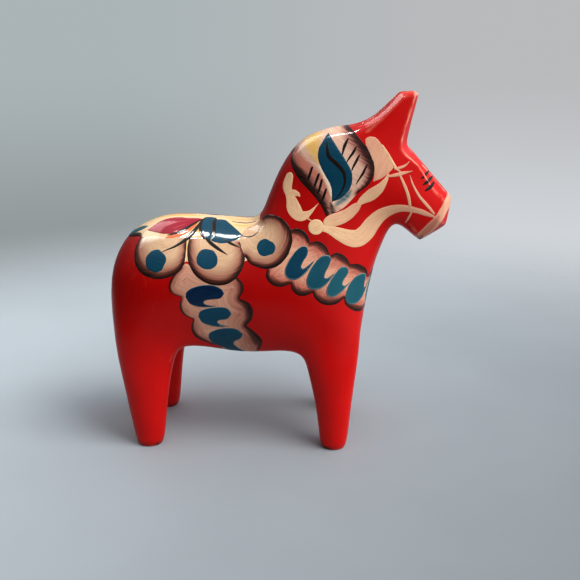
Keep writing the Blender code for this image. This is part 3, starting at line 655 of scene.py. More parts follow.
CRIMSON_LEAF = ((-48.2, 8.2, 0.2), (-45.6, 8.3, 2.0), (-42.4, 8.3, 3.9), (-39, 8.2, 4.5), (-35, 7.6, 4.0),
                (-31.6, 6.2, 2.1), (-28.2, 4.4, 0.1))
CRIMSON_LIGHTS = (
    ((-43, 6.6, 0.1), (-38, 5, 0.3), (-33, 4.6, 0.35), (-29.4, 4.2, 0.1)),
    ((-42, 9.2, 0.1), (-38, 7.4, 0.35), (-34, 6.2, 0.25), (-31, 5.4, 0.1)),
    ((-40, 11, 0.1), (-36.4, 9.4, 0.3), (-33, 7.6, 0.15)),
)
ORANGE_WEDGE = ((-41, 14.4, 0.2), (-37.6, 13.6, 0.9), (-34.4, 12.2, 1.2), (-31.6, 9.6, 0.7),
                (-29.8, 7.2, 0.1))
YELLOW_WEDGE = ((-29.4, 6.8, 0.4), (-29.6, 10, 1.5), (-30.2, 13, 2.2), (-31.4, 16.4, 1.7), (-33, 19.4, 0.4))
BACK_LINE = ((-50, 0.4, 0.4), (-42, 0.8, 1.1), (-34, 1.2, 1.2), (-28, 1.6, 0.4))
FRONT_LINES = (
    ((-21, 1.6, 0.2), (-15, 2.4, 1.0), (-9, 2.8, 0.5)),
    ((-19, 6, 0.1), (-14, 7.4, 0.8), (-9, 7.6, 0.3)),
)
TAIL_BLUE = ((-56.6, 0.2, 0.3), (-54.6, 2.4, 1.1), (-51.6, 4.4, 1.3), (-48.6, 5.6, 0.3))
SADDLE_BLACKS = (
    ((-56.6, 1.4, 0.2), (-55.8, 3.4, 0.5), (-53.6, 6, 0.7), (-51.4, 8, 0.6), (-50.4, 9.8, 0.2)),
    ((-40.4, 13.3, 0.1), (-37, 12.6, 0.65), (-33.8, 10.6, 0.8), (-31, 7.6, 0.55), (-28.2, 4.5, 0.15)),
    ((-28.3, 4.6, 0.25), (-28.9, 7.4, 0.5), (-30.4, 11, 0.75), (-33, 15, 0.7), (-37, 18.2, 0.4),
     (-42, 20.2, 0.08)),
    ((-27.4, 3, 0.2), (-28.7, 7.4, 0.5), (-28.3, 11.6, 0.5), (-26.6, 14.9, 0.35)),
    ((-23.4, 3.2, 0.25), (-23.9, 7, 0.8), (-23.3, 11.4, 0.6), (-22.6, 13.6, 0.2)),
    ((-27.2, 13.2, 0.2), (-24.6, 16, 0.65), (-21.6, 18.3, 0.6), (-18, 20.6, 0.1)),
    ((-20.4, 13.8, 0.1), (-17.2, 16, 0.5), (-13.6, 17.8, 0.12)),
    ((-13.4, 12.9, 0.08), (-10.4, 13.8, 0.22), (-7.8, 13.2, 0.2), (-6.4, 11.6, 0.08)),
    ((-17.4, 4.6, 0.08), (-13, 5.4, 0.2), (-8.4, 5.3, 0.1)),
)
MIDRIB = ((18.6, 9.2, 0.25), (16.4, 12.4, 0.5), (14.4, 15.6, 0.7), (13.6, 19, 0.8), (12.8, 22, 0.75),
          (11.4, 24.8, 0.65), (8.4, 27.3, 0.55), (4.4, 28.2, 0.45), (1, 27.4, 0.15))
LASHES = (
    ((3.6, 16, 0.3), (6, 15.2, 0.42), (8.6, 14.2, 0.34)),
    ((2.6, 19.3, 0.3), (5.2, 18.5, 0.42), (7.7, 17.7, 0.34)),
    ((1.4, 21.6, 0.3), (3.8, 20.9, 0.42), (6.4, 19.8, 0.34)),
    ((-1.4, 24.3, 0.3), (1.4, 23.9, 0.45), (4.2, 23.1, 0.34)),
    ((23, 10.6, 0.16), (20.4, 13.8, 0.34), (17.2, 17.6, 0.14)),
    ((21.8, 16, 0.16), (19.2, 18.8, 0.34), (15.6, 21.4, 0.14)),
    ((20, 20.4, 0.16), (17.2, 23, 0.34), (13.8, 25.4, 0.14)),
    ((18.2, 26.2, 0.2), (14.6, 28.9, 0.36), (10.2, 30.5, 0.1)),
)
MANE_YELLOW = ((17.4, 2.4, 3.4), (15.6, 6.4, 2.8), (13.6, 10, 1.9), (11.8, 13.8, 1.0), (10.4, 16.6, 0.3))
MANE_ROSE = ((9.4, 4, 1.2), (8, 10, 2.0), (7, 16, 1.8), (5, 22, 1.5), (2, 26, 1.2))
MANE_LIGHT = ((10, 16, 0.3), (8, 19.6, 0.8), (5, 24, 0.9), (1, 28, 0.4))
MANE_SMEAR = ((0.4, 27.2, 0.3), (-1.6, 29.4, 1.2), (-2.8, 31.6, 0.9), (-3.4, 33.4, 0.3))
LEAF_FADE = ((7.4, 30.6, 0.5), (4.6, 30.6, 1.3), (1, 29.4, 0.9))

LOCK = ((4.5, 102.2, 1.2), (3.6, 99.4, 1.7), (3.2, 96.8, 1.8), (3.9, 94.6, 1.5), (4.8, 92.6, 2.1),
        (5.6, 90.2, 2.7), (7, 88.2, 2.5), (9, 87.5, 1.9), (11.3, 88.6, 1.0), (13.2, 90.5, 0.45),
        (15, 92.5, 0.1))
LOCK_SPUR = ((3.6, 95, 0.8), (5.4, 95.2, 1.4), (7.2, 94.8, 0.9), (7.9, 93.8, 0.15))
LOCK_THREAD = ((9.6, 87.2, 0.3), (12, 85.8, 0.25), (13.6, 84.8, 0.2))
BALL = ((13.7, 83.7), (2.8, 2.7))
REIN = ((15.6, 83.6, 1.2), (18.6, 82.8, 1.5), (22, 81.2, 2.2), (26, 79.6, 2.9), (29, 79.4, 3.2),
        (31.6, 81.2, 3.2), (34, 84.4, 2.9), (37, 87.3, 2.4), (40.6, 89.1, 1.8), (44.6, 89.8, 1.3),
        (49, 89.1, 1.1), (53, 87.8, 0.9), (57, 86.2, 0.3))
STRAND = ((16.4, 84.6, 1.2), (19, 85.8, 2.1), (22, 86.6, 2.3), (25, 88, 2.1), (27.6, 90.2, 1.7),
          (29.4, 91.8, 0.8))
BRIDLE_LEAF = ((28, 91, 0.4), (30.4, 93, 1.5), (33.2, 94.8, 2.1), (36, 97, 1.7), (38, 99.6, 0.9),
               (39.4, 102.2, 0.3))
FORELOCK = (
    (((30.6, 114.2), (32, 115.2), (34.4, 114.9), (36, 113.4), (37.2, 111.6), (38.8, 109.2), (40.4, 106.8),
      (41.2, 104.4)), 0),
    (((41.2, 104.4), (39.4, 102.4), (36.6, 100.4), (33.6, 99.3)), 0),
    (((33.6, 99.3), (34, 101.8), (33.8, 104.6), (33, 107.4), (31.8, 110.2), (30.8, 112.6), (30.6, 114.2)), 0),
)
FORELOCK_EDGE = ((36.6, 112.3, 0.3), (38.8, 109.2, 0.4), (40.8, 105.9, 0.4), (42.2, 104, 0.25))
STAR = (
    ((41.2, 103.8, 0.35), (43.4, 104.3, 0.5), (45.2, 105, 0.4), (46.8, 106.4, 0.1)),
    ((38.6, 101.2, 0.3), (41.6, 101.7, 0.6), (44.4, 102.3, 0.6), (48, 103, 0.1)),
    ((41, 104.6, 0.25), (42.6, 103.4, 0.35), (44.2, 102.4, 0.25)),
)
CHEEK_STRAP = ((42.9, 102.6, 0.3), (44.6, 99, 0.5), (46.3, 95, 0.6), (47.1, 91.6, 0.55), (47.4, 89.4, 0.3))
JAW_STRAP = ((46.9, 101.6, 0.12), (48.2, 98, 0.35), (50.6, 94, 0.5), (53.6, 90.6, 0.55), (56.4, 87.4, 0.4))
CHIN_TICK = ((48.2, 88.8, 0.3), (47.2, 86.6, 0.45), (46, 84, 0.2))
NOSE_BLACKS = (
    ((51, 100.2, 0.2), (52.6, 101.2, 0.55), (54.2, 102.2, 0.35)),
    ((51.7, 97.9, 0.2), (53.6, 99.1, 0.65), (55.6, 100.4, 0.35)),
    ((52.5, 95.8, 0.2), (54.4, 97, 0.65), (56.2, 98.6, 0.35)),
)
# Colours worked into a ground while it was wet, and a pale painted glare of the window on the rear petal.
PETAL_GLARE = ((-49, 12, 1.4), (-45.6, 11.8, 2.6), (-41.6, 13, 2.0))
NOSE_TINTS = (
    ("rose", ((14.6, 12, 0.8), (14.6, 18, 1.8), (14.6, 24, 2.0))),
    ("dark", ((14.8, 21, 0.4), (15, 23.4, 1.0), (15, 25.4, 1.4))),
)
MANE_TINTS = (
    ("gold", MANE_YELLOW),
    ("pale", MANE_LIGHT),
    ("rose", MANE_ROSE),
    ("teal", LEAF_FADE),
    ("dark", MANE_SMEAR),
)
DOTS = {  # chart, centre, radii, tilt in degrees, and a seed for the ragged edge
    "rear_petal_dot": ("barrel", (-43.8, 22.8), (3.5, 4.5), -28, 2.0),
    "middle_petal_dot": ("barrel", (-25.2, 22.6), (4.1, 3.9), 30, 5.0),
    "withers_petal_dot": ("side", (-4.2, 76.2), (3.4, 3.0), 0, 9.0),
}


# ---------------------------------------------------------------- materials
class Nodes:
    """The node tree of a material or a world, with short ways to add to it."""

    def __init__(self, owner):
        owner.use_nodes = True
        self.owner, self.tree = owner, owner.node_tree
        self.surface = self.tree.nodes.get("Principled BSDF")

    def feed(self, node, socket, value):
        if isinstance(value, bpy.types.NodeSocket):
            self.tree.links.new(value, node.inputs[socket])
        else:
            node.inputs[socket].default_value = value

    def add(self, kind, inputs=(), **settings):
        node = self.tree.nodes.new("ShaderNode" + kind)
        for key, value in settings.items():
            setattr(node, key, value)
        for socket, value in dict(inputs).items():
            self.feed(node, socket, value)
        return node

    def read(self, name):
        node = self.add("Attribute", attribute_name=name)
        return node.outputs["Vector" if name == "flow" else "Fac"]

    def place(self, kind="Object"):
        return self.add("TexCoord").outputs[kind]

    def parts(self, vector):
        return self.add("SeparateXYZ", {0: vector}).outputs

    def maths(self, operation, *values, clamp=False):
        return self.add("Math", dict(enumerate(values)), operation=operation, use_clamp=clamp).outputs[0]

    def times(self, first, second, clamp=False):
        return self.maths("MULTIPLY", first, second, clamp=clamp)

    def plus(self, first, second, clamp=False):
        return self.maths("ADD", first, second, clamp=clamp)

    def vector(self, operation, first, second):
        return self.add("VectorMath", {0: first, 1: second}, operation=operation).outputs

    def scaled(self, vector, scale):
        return self.vector("MULTIPLY", vector, scale)[0]

    def noise(self, vector, scale=1.0, detail=3.0, roughness=0.55):
        inputs = {"Vector": vector, "Scale": scale, "Detail": detail, "Roughness": roughness}
        return self.add("TexNoise", inputs).outputs["Fac"]

    def between(self, value, low, high, to_low=0.0, to_high=1.0, ease="LINEAR"):
        inputs = {"Value": value, "From Min": low, "From Max": high, "To Min": to_low, "To Max": to_high}
        return self.add("MapRange", inputs, clamp=True, interpolation_type=ease).outputs[0]

    def patches(self, place, scale, detail, low, high):
        """Soft-edged patches, about 1 / scale metres across."""
        return self.between(self.noise(place, scale, detail), low, high)

    def ramp(self, value, stops):
        node = self.add("ValToRGB", {"Fac": value})
        elements = node.color_ramp.elements
        elements.remove(elements[1])
        elements[0].position = stops[0][0]
        for place, _ in stops[1:]:
            elements.new(place)
        for element, (_, colour) in zip(elements, stops):
            element.color = (*colour, 1)
        return node.outputs["Color"]

    def mix(self, share, first, second):
        colours = [c if isinstance(c, bpy.types.NodeSocket) else (*c, 1) for c in (first, second)]
        return self.add("Mix", {"Factor": share, 6: colours[0], 7: colours[1]}, data_type="RGBA").outputs[2]

    def over(self, colour, share, most, tone):
        """A colour with a tone over it, up to the most that is given."""
        return self.mix(self.times(share, most), colour, tone)

    def bump(self, height, distance):
        inputs = {"Height": height, "Distance": distance * MM, "Strength": 1.0}
        return self.add("Bump", inputs).outputs["Normal"]

    def brush(self, coarse, fine, detail=3.0):
        """Coarse and fine bristle marks, by their scales along and across the brush."""
        flow = self.read("flow")
        return (
            self.noise(self.scaled(flow, (*coarse, 1.0)), 1.0, detail),
            self.noise(self.scaled(flow, (*fine, 1.0)), 1.0, 2.0),
        )

    def finish(self, colour, roughness, normal):
        """Paint under the clear varnish that covers the whole horse."""
        varnish = self.noise(self.place(), VARNISH_SCALE, 2.0)
        for socket, value in (
            ("Base Color", colour),
            ("Roughness", roughness),
            ("Specular IOR Level", UNDER_SHEEN),
            ("Normal", normal),
            ("Coat Weight", VARNISH),
            ("Coat Roughness", self.between(varnish, 0.3, 0.7, *VARNISH_ROUGHNESS)),
            ("Coat IOR", 1.5),
            ("Coat Normal", self.bump(varnish, VARNISH_WAVE)),
        ):
            self.feed(self.surface, socket, value)
        return self.owner


VARNISH = 0.35
UNDER_SHEEN = 0.1
VARNISH_SCALE = 160.0
VARNISH_ROUGHNESS = (0.05, 0.1)
VARNISH_WAVE = 0.02
PAINT_ROUGHNESS = 0.42

# Linear colours.
RED_DEEP, RED_BRIGHT, RED_ORANGE = (0.42, 0.001, 0.0005), (0.64, 0.003, 0.001), (0.72, 0.035, 0.004)
# Pale paint along the knife edges: partly paint rubbed thin, partly a painted highlight where the edges catch
# the light.
RUBBED_AND_SHEEN, BARE_EDGE_AND_SHEEN = (0.85, 0.28, 0.20), (0.95, 0.50, 0.34)
SPECK, DIRT = (0.16, 0.02, 0.01), (0.07, 0.016, 0.01)
DARK_GRAIN, LIGHT_GRAIN = (0.35, 0.17, 0.07), (0.55, 0.32, 0.15)
CREAM, PETAL_CREAM = (0.90, 0.63, 0.37), (0.70, 0.47, 0.29)
PALE, ROSE = (0.93, 0.78, 0.60), (0.60, 0.22, 0.15)
YELLOW, ORANGE, CRIMSON = (0.80, 0.50, 0.14), (0.75, 0.14, 0.035), (0.40, 0.012, 0.035)
NAVY, TEAL = (0.002, 0.015, 0.06), (0.002, 0.068, 0.115)
# The pale grey-green at the blue's edge is a painted highlight along its raised rim.
SEA, SEA_RIM_SHEEN = (0.018, 0.135, 0.17), (0.30, 0.33, 0.31)
SOFT_BLACK, BROWN, DARK_BROWN = (0.012, 0.006, 0.005), (0.13, 0.035, 0.022), (0.08, 0.022, 0.016)
TINT_COLOURS = {
    "gold": YELLOW,
    "rose": ROSE,
    "pale": PALE,
    "teal": (0.10, 0.20, 0.22),
    "dark": (0.03, 0.014, 0.012),
}
SHADE_SPAN = 5.0  # rim widths that a ramp covers


def lacquer():
    """Red oil paint on carved pine: uneven, painted brighter down the legs and over the shoulders as painted
    light, with wear and a painted highlight along the knife edges, specked, and dirty round the soles.
    """
    n = Nodes(bpy.data.materials.new("red_lacquer"))
    place = n.place()
    forwards, _, height = n.parts(place)
    pull = n.noise(n.scaled(place, (900, 900, 160)), 1.0, 4.0)
    # Painted light: the red is painted brighter down the legs, where the floor throws light up, and over the
    # shoulders, which face the light.
    painted_light = n.maths("MAXIMUM", n.between(height, 0.062, 0.030), n.between(forwards, 0.008, 0.034))
    painted_light = n.maths("MULTIPLY_ADD", painted_light, 0.75, -0.05)
    bright = n.maths("MULTIPLY_ADD", n.patches(place, 60.0, 3.0, 0.3, 0.7), 0.35, painted_light, clamp=True)
    colour = n.mix(bright, RED_DEEP, RED_BRIGHT)
    streak = n.times(n.between(pull, 0.55, 0.75), n.patches(place, 35.0, 1.0, 0.5, 0.7), clamp=True)
    colour = n.over(colour, streak, 0.35, RED_ORANGE)
    # Wear and painted highlight along the knife edges: the paint is paler there, palest on the upper front
    # edges of the head, which face the light.
    edge_wear_and_sheen = n.read("edge_wear_and_sheen")
    rubbed_and_sheen = n.times(n.between(edge_wear_and_sheen, 0.2, 0.85), n.patches(place, 300.0, 2.0, 0.3, 0.6))
    colour = n.over(colour, rubbed_and_sheen, 0.5, RUBBED_AND_SHEEN)
    bare_edge_and_sheen = n.times(n.between(edge_wear_and_sheen, 0.6, 0.85), n.patches(place, 140.0, 2.0, 0.4, 0.52))
    ahead = n.parts(n.place("Normal"))["X"]
    upper_front = n.times(n.between(height, 0.094, 0.099), n.between(ahead, 0.0, 0.3))
    colour = n.over(colour, n.times(bare_edge_and_sheen, upper_front), 0.6, BARE_EDGE_AND_SHEEN)
    colour = n.over(colour, n.patches(place, 900.0, 2.0, 0.74, 0.78), 0.6, SPECK)
    foot = n.times(n.between(height, 0.0022, 0.0004), n.patches(place, 500.0, 4.0, 0.35, 0.6))
    colour = n.mix(foot, colour, DIRT)
    grain = n.noise(n.scaled(place, (240, 1500, 1500)), 1.0, 3.0)
    bare = n.ramp(grain, ((0.3, DARK_GRAIN), (0.7, LIGHT_GRAIN)))
    colour = n.mix(n.between(height, 0.00012, 0.00004), colour, bare)
    return n.finish(colour, n.between(pull, 0.3, 0.7, 0.34, 0.46), n.bump(pull, 0.008))


def tinted(n, colour, bristle):
    """Works the tints into a colour, broken up by the bristles."""
    broken = n.between(bristle, 0.3, 0.7, 0.55, 1.25)
    for name in TINTS:
        colour = n.mix(n.times(n.read(name), broken, clamp=True), colour, TINT_COLOURS[name])
    return colour


def ground(name, stops, streaks, rim_break):
    """Pale paint pulled with a double-loaded brush: dark along the rim, then paler and streaked."""
    n = Nodes(bpy.data.materials.new(name))
    bristle, fine = n.brush((0.12, 1.8), (0.2, 5.5))
    wander = n.maths("MULTIPLY_ADD", bristle, rim_break, n.read("shade"))
    at = n.maths("DIVIDE", n.maths("SUBTRACT", wander, rim_break / 2), SHADE_SPAN)
    colour = n.ramp(at, [(place / SHADE_SPAN, tone) for place, tone in stops])
    inner = n.between(n.read("shade"), 1.2, 2.4)
    for marks, tone in zip((bristle, fine), streaks):
        colour = n.over(colour, n.times(n.between(marks, 0.5, 0.72), inner), 0.75, tone)
    drawn = n.times(n.between(fine, 0.5, 0.64), n.between(n.read("shade"), 3.4, 1.2))
    colour = n.over(colour, drawn, 0.6, BROWN)
    relief = n.plus(bristle, n.times(fine, 0.6))
    return n.finish(tinted(n, colour, bristle), PAINT_ROUGHNESS, n.bump(relief, 0.035))


def petal_stops(middle, inner):
    """From a black rim to the inner colour: places in rim widths from the rim."""
    blend = tuple((a + b) / 2 for a, b in zip(middle, inner))
    return ((0.35, SOFT_BLACK), (0.85, BROWN), (1.4, middle), (2.6, blend), (4.0, inner))


def thin_paint(name, full, spent):
    """A stroke that starts full of paint and runs dry, with the red showing between the bristles."""
    n = Nodes(bpy.data.materials.new(name))
    bristle, fine = n.brush((0.16, 2.6), (0.3, 7.0), 4.0)
    load = n.read("load")
    held = n.plus(load, n.maths("MULTIPLY_ADD", bristle, 0.9, -0.45), clamp=True)
    colour = n.over(n.mix(held, spent, full), n.between(fine, 0.5, 0.66), 0.6, spent)
    dry = n.maths("MULTIPLY_ADD", load, 0.5, n.times(n.read("edge"), 0.9))
    dry = n.maths("SUBTRACT", n.plus(dry, n.times(fine, 1.2)), 0.55)
    colour = n.mix(n.between(dry, 0.12, 0.3), n.mix(0.55, spent, RED_DEEP), colour)
    return n.finish(tinted(n, colour, bristle), PAINT_ROUGHNESS, n.bump(n.plus(bristle, fine), 0.03))


def blue_paint():
    """Blue from navy through teal to grey sea green, by load, with streaks and a pale edge painted as the
    highlight along the raised rim.
    """
    n = Nodes(bpy.data.materials.new("blue_brushwork"))
    bristle, fine = n.brush((0.12, 2.4), (0.2, 6.0))
    tone = n.maths("MULTIPLY_ADD", bristle, 0.5, n.maths("SUBTRACT", n.read("load"), 0.25), clamp=True)
    colour = n.ramp(tone, ((0.05, NAVY), (0.5, TEAL), (0.95, SEA)))
    colour = n.over(colour, n.between(fine, 0.58, 0.74), 0.3, SEA)
    # Painted highlight: a pale line along the raised rim of the blue.
    edge = n.times(n.between(n.read("shade"), 0.95, 0.5), n.between(bristle, 0.35, 0.6, 0.15, 0.8))
    return n.finish(n.mix(edge, colour, SEA_RIM_SHEEN), 0.4, n.bump(n.plus(bristle, fine), 0.03))


def flat_paint(name, full, streaked, most=0.5):
    """One colour, streaked along the brush with another."""
    n = Nodes(bpy.data.materials.new(name))
    bristle = n.noise(n.scaled(n.read("flow"), (0.2, 3.2, 1.0)), 1.0, 3.0)
    colour = n.over(full, n.between(bristle, 0.45, 0.72), most, streaked)
    return n.finish(colour, PAINT_ROUGHNESS, n.bump(bristle, 0.03))


# ---------------------------------------------------------------- painting the horse
def paints():
    """Every paint by a short name."""
    girth_stops = petal_stops((0.50, 0.20, 0.14), (0.66, 0.35, 0.24))
    breast_stops = petal_stops((0.62, 0.20, 0.14), (0.80, 0.45, 0.30))
    rose_stops = petal_stops((0.48, 0.21, 0.14), PETAL_CREAM)
    mane_stops = ((0.4, SOFT_BLACK), (0.8, DARK_BROWN), (1.3, (0.50, 0.22, 0.17)), (2.0, (0.80, 0.52, 0.38)))
    grounds = {  # ramp stops, colours of the coarse and fine streaks, how far the bristles break up the rim
        "girth": (girth_stops, ((0.78, 0.50, 0.35), (0.44, 0.17, 0.12)), 0.9),
        "breast": (breast_stops, ((0.86, 0.52, 0.34), (0.62, 0.24, 0.17)), 0.9),
        "saddle": (((0, CREAM), (1, CREAM)), ((0.74, 0.46, 0.28), (0.90, 0.68, 0.44)), 0.9),
        "petal": (rose_stops, ((0.58, 0.31, 0.20), (0.80, 0.58, 0.37)), 1.1),
        "mane": (mane_stops, ((0.60, 0.27, 0.21), (0.92, 0.70, 0.54)), 1.2),
    }
    made = {name: ground(f"{name}_ground", *settings) for name, settings in grounds.items()}
    made["cream"] = thin_paint("cream_brushwork", CREAM, (0.72, 0.35, 0.24))
    made["blue"] = blue_paint()
    made["black"] = flat_paint("black_brushwork", SOFT_BLACK, (0.05, 0.022, 0.016))
    made["crimson"] = flat_paint("crimson_brushwork", CRIMSON, (0.24, 0.006, 0.03), 0.7)
    made["light"] = flat_paint("light_crimson_brushwork", (0.55, 0.10, 0.12), CRIMSON)
    made["orange"] = flat_paint("orange_brushwork", ORANGE, CREAM, 0.6)
    return made


def strokes(lines):
    return [stroke(line) for line in lines]


def lobes(outlines, loads):
    return [panel(outline, load=load) for outline, load in zip(outlines, loads)]


def middle_motifs():
    """The motifs that cross the middle line: name, chart, coat, paint and sheets."""
    back = [("gold", line) for line in (BACK_LINE, YELLOW_WEDGE, *FRONT_LINES)]
    return (
        ("saddle_cloth", "barrel", 0, "saddle", [panel(SADDLE_GROUND, -20, mirrored=True, tints=back)]),
        ("breast_band", "chest", 0, "breast", [panel(BREAST_GROUND, mirrored=True)]),
        ("mane_panel", "neck", 0, "mane", [panel(MANE_GROUND, 90, mirrored=True, tints=MANE_TINTS)]),
        ("noseband", "muzzle", 1, "cream", [panel(NOSEBAND, 90, 0.25, True, 0.2, NOSE_TINTS)]),
    )


def paired_motifs():
    """The motifs that each side has: name, chart, coat, paint and sheets."""
    ball = panel([(round_points(*BALL), 0)], 20)
    leaves = [panel(REAR_BLUE, 80, load=0.5), panel(FRONT_BLUE, 60, load=0.5)]
    motifs = [
        ("girth_band", "barrel", 0, "girth", [panel(GIRTH_GROUND)]),
        # The rear petal's pale tint is a painted glare of the window in the varnish.
        ("rear_petal", "barrel", 1, "petal", [panel(REAR_PETAL, (-41, 15), tints=[("pale", PETAL_GLARE)])]),
        ("middle_petal", "barrel", 2, "petal", [panel(MIDDLE_PETAL, (-21, 15))]),
        ("breast_tip", "side", 1, "breast", [panel(BREAST_TIP)]),
        ("withers_petal", "side", 2, "petal", [panel(WITHERS_PETAL, (-6, 82))]),
        ("rein_ribbon", "side", 1, "cream", [ball, stroke(REIN, (1.0, 0.15))]),
        ("rein_strand", "side", 1, "cream", [stroke(STRAND, (0.75, 0.35))]),
        ("mane_lock", "side", 0, "cream", [stroke(LOCK, (0.9, 0.8)), stroke(LOCK_SPUR, (0.8, 0.5))]),
        ("mane_lock_thread", "side", 1, "cream", [stroke(LOCK_THREAD, (0.5, 0.3))]),
        ("bridle_leaf", "side", 1, "cream", [stroke(BRIDLE_LEAF, (0.7, 0.6))]),
        ("forelock_leaf", "side", 0, "cream", [panel(FORELOCK, 65, load=0.3)]),
        ("forelock_edge", "side", 1, "cream", [stroke(FORELOCK_EDGE)]),
        ("bridle_star", "side", 2, "cream", [stroke(ray, (0.4, 0.2)) for ray in STAR]),
        ("cheek_strap", "side", 2, "cream", [stroke(CHEEK_STRAP, (0.4, 0.4))]),
        ("jaw_strap", "side", 2, "cream", [stroke(line, (0.3, 0.3)) for line in (JAW_STRAP, CHIN_TICK)]),
        ("nose_strokes", "side", 1, "black", strokes(NOSE_BLACKS)),
        ("mane_leaf", "neck", 2, "blue", [panel(MANE_LEAF, 60, load=0.5)]),
        ("mane_strokes", "neck", 3, "black", strokes((MIDRIB, *LASHES))),
        ("crimson_leaf", "barrel", 3, "crimson", [stroke(CRIMSON_LEAF)]),
        ("crimson_lights", "barrel", 4, "light", strokes(CRIMSON_LIGHTS)),
        ("orange_wedge", "barrel", 3, "orange", [stroke(ORANGE_WEDGE)]),
        ("saddle_leaf", "barrel", 3, "blue", leaves),
        ("saddle_strokes", "barrel", 4, "black", strokes(SADDLE_BLACKS)),
        ("tail_strokes", "barrel", 3, "blue", [stroke(TAIL_BLUE, (0.9, 0.9))]),
        ("girth_scroll", "barrel", 2, "blue", lobes(GIRTH_LOBES, (0.12, 0.5, 0.5))),
        ("breast_scroll", "side", 3, "blue", lobes(BREAST_LOBES, (0.45, 0.7, 0.9))),
        ("chest_scroll", "chest", 2, "blue", lobes(CHEST_LOBES, (0.9, 0.9))),
    ]
    for name, (chart, *shape) in DOTS.items():
        motifs.append((name, chart, 3, "blue", [dab(*shape)]))
    return motifs


def round_points(centre, radii, count=24):
    turns = [2 * pi * i / count for i in range(count + 1)]
    return [(centre[0] + radii[0] * cos(t), centre[1] + radii[1] * sin(t)) for t in turns]


def paint_horse(surface):
    """Lays every motif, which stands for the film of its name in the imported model, where there is one."""
    made = paints()
    pairs = paired_motifs()
    jobs = [(1, "", motif) for motif in middle_motifs()]
    jobs += [(side, f"_{word}", motif) for side, word in SIDES for motif in pairs]
    for seed, (side, word, (name, chart, coat, paint, sheets)) in enumerate(jobs, 1):
        film = lay_film(f"{name}_paint{word}", surface, chart, side, sheets, coat, seed)
        keep(film, made[paint], name + word)


def keep(piece, material, node):
    piece.data.materials.clear()
    piece.data.materials.append(material)
    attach(piece, BODY)
    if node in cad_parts:
        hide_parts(node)


# ---------------------------------------------------------------- floor, light and camera
FLOOR = (0.345, 0.376, 0.392)
FLOOR_LIGHT_SLOPE = (-2.2, 1.2)  # painted light: how the floor's paleness changes to the right and away, per metre
FLOOR_RADIUS = 0.6
FLOOR_FADE = (0.12, 0.42)  # metres from the horse where the floor melts into the backdrop
BACKDROP = (  # painted light on the paper: its paleness at the left and at the right, low and high
    ((0.288, 0.310, 0.316), (0.566, 0.587, 0.612)),
    ((0.384, 0.426, 0.440), (0.449, 0.453, 0.462)),
)
BACKDROP_ACROSS, BACKDROP_RISE = (-0.26, 0.18), (-0.25, -0.03)  # the part of a direction where it changes
TENT_COLOUR = (0.95, 0.98, 1.03)
TENT = (  # direction, the two cosines between which it rises, strength
    ((0, 0, 1), -1.0, -0.9, 0.05),
    ((0.2, 0.1, 1), -0.1, 1.0, 0.55),
    ((1, -0.2, 0.3), 0.0, 1.0, 0.75),
    ((0.1, 1, 0.1), 0.1, 1.0, 0.18),
)
CHEST_HEIGHT = (0, 0, 0.05)
SADDLE = (-0.02, -0.012, 0.08)  # where the window shines
LAMPS = {  # place, aim, size, power, and whether it only shines in the varnish
    "soft_key": ((0.58, -0.30, 0.98), CHEST_HEIGHT, (0.7, 0.7), 8.8, False),
    "window": ((-0.15, -0.09, 0.86), SADDLE, (0.11, 0.12), 3.0, True),
    "sky": ((-0.47, 0.24, 0.71), SADDLE, (0.6, 0.35), 4.4, True),
}
CAMERA_PLACE = (0.01785, -0.3219, 0.1519)
CAMERA_YAW, CAMERA_PITCH = 2.5, 16.6  # degrees to the left and down
CAMERA_LENS, SENSOR = 54.6, 36.0
EXPOSURE, GAMMA = 0.3, 0.82


def lay_floor():
    mesh = bmesh.new()
    bmesh.ops.create_circle(mesh, cap_ends=True, radius=FLOOR_RADIUS, segments=96)
    data = bpy.data.meshes.new("floor")
    mesh.to_mesh(data)
    mesh.free()
    n = Nodes(bpy.data.materials.new("pale_floor"))
    place = n.place()
    cloud = n.between(n.noise(place, 14.0, 2.0), 0.3, 0.7, 0.97, 1.03)
    # Painted light: the floor is paler to the left and further away, darker to the right.
    across = n.plus(1.0, n.vector("DOT_PRODUCT", place, (*FLOOR_LIGHT_SLOPE, 0))["Value"])
    n.feed(n.surface, "Base Color", n.scaled(FLOOR, n.times(cloud, across)))
    n.feed(n.surface, "Roughness", 0.6)
    n.feed(n.surface, "Specular IOR Level", 0.2)
    away = n.add("VectorMath", {0: place}, operation="LENGTH").outputs["Value"]
    share = n.between(away, *FLOOR_FADE, ease="SMOOTHSTEP")
    clear = n.add("BsdfTransparent").outputs[0]
    mixed = n.add("MixShader", {0: share, 1: n.surface.outputs[0], 2: clear}).outputs[0]
    n.feed(n.tree.nodes["Material Output"], "Surface", mixed)
    data.materials.append(n.owner)
    linked("floor", data)


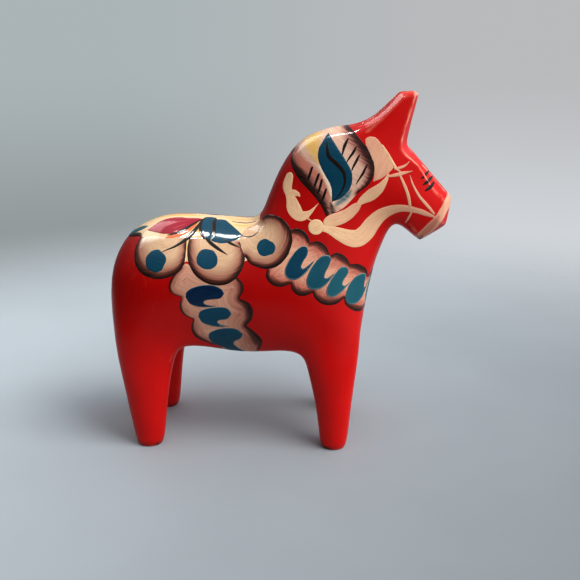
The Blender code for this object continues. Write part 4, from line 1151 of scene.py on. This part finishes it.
def light_world():
    """A soft tent of light, bright above and to the right, with a backdrop for the camera to see, its paper
    graded in painted light.
    """
    world = bpy.data.worlds.new("studio")
    bpy.context.scene.world = world
    n = Nodes(world)
    direction = n.place("Generated")
    glow = None
    for towards, low, high, strength in TENT:
        along = n.vector("DOT_PRODUCT", direction, Vector(towards).normalized())["Value"]
        part = n.between(along, low, high, to_high=strength, ease="SMOOTHSTEP")
        glow = part if glow is None else n.plus(glow, part)
    tent = n.add("VectorMath", {0: TENT_COLOUR, "Scale": glow}, operation="SCALE").outputs[0]
    sideways, _, upwards = n.parts(direction)
    across = n.between(sideways, *BACKDROP_ACROSS, ease="SMOOTHSTEP")
    rise = n.between(upwards, *BACKDROP_RISE, ease="SMOOTHSTEP")
    # Painted light: the paper is graded from left to right and from low to high.
    paper = n.mix(rise, *(n.mix(across, left, right) for left, right in BACKDROP))
    seen = n.add("LightPath").outputs["Is Camera Ray"]
    background = n.tree.nodes["Background"]
    n.feed(background, "Color", n.mix(seen, tent, paper))
    n.feed(background, "Strength", 1.0)


def aim(thing, place, towards):
    thing.location = place
    thing.rotation_mode = "QUATERNION"
    thing.rotation_quaternion = Vector(towards).to_track_quat("-Z", "Y")


def light_area(name, place, target, size, power, shine_only):
    lamp = bpy.data.lights.new(name, "AREA")
    lamp.shape = "RECTANGLE"
    lamp.size, lamp.size_y = size
    lamp.energy = power
    holder = linked(name, lamp)
    aim(holder, place, Vector(target) - Vector(place))
    holder.visible_diffuse = not shine_only


def place_camera():
    lens = bpy.data.cameras.new("camera")
    lens.lens, lens.sensor_width = CAMERA_LENS, SENSOR
    camera = linked("camera", lens)
    yaw, pitch = radians(CAMERA_YAW), radians(CAMERA_PITCH)
    aim(camera, CAMERA_PLACE, (-sin(yaw) * cos(pitch), cos(yaw) * cos(pitch), -sin(pitch)))
    bpy.context.scene.camera = camera


body = carved_body()
keep(body, lacquer(), "carved_horse")
paint_horse(Surface(body.data))
lay_floor()
light_world()
for lamp_name, settings in LAMPS.items():
    light_area(lamp_name, *settings)
place_camera()
view = bpy.context.scene.view_settings
view.view_transform = "Standard"
view.exposure, view.gamma = EXPOSURE, GAMMA
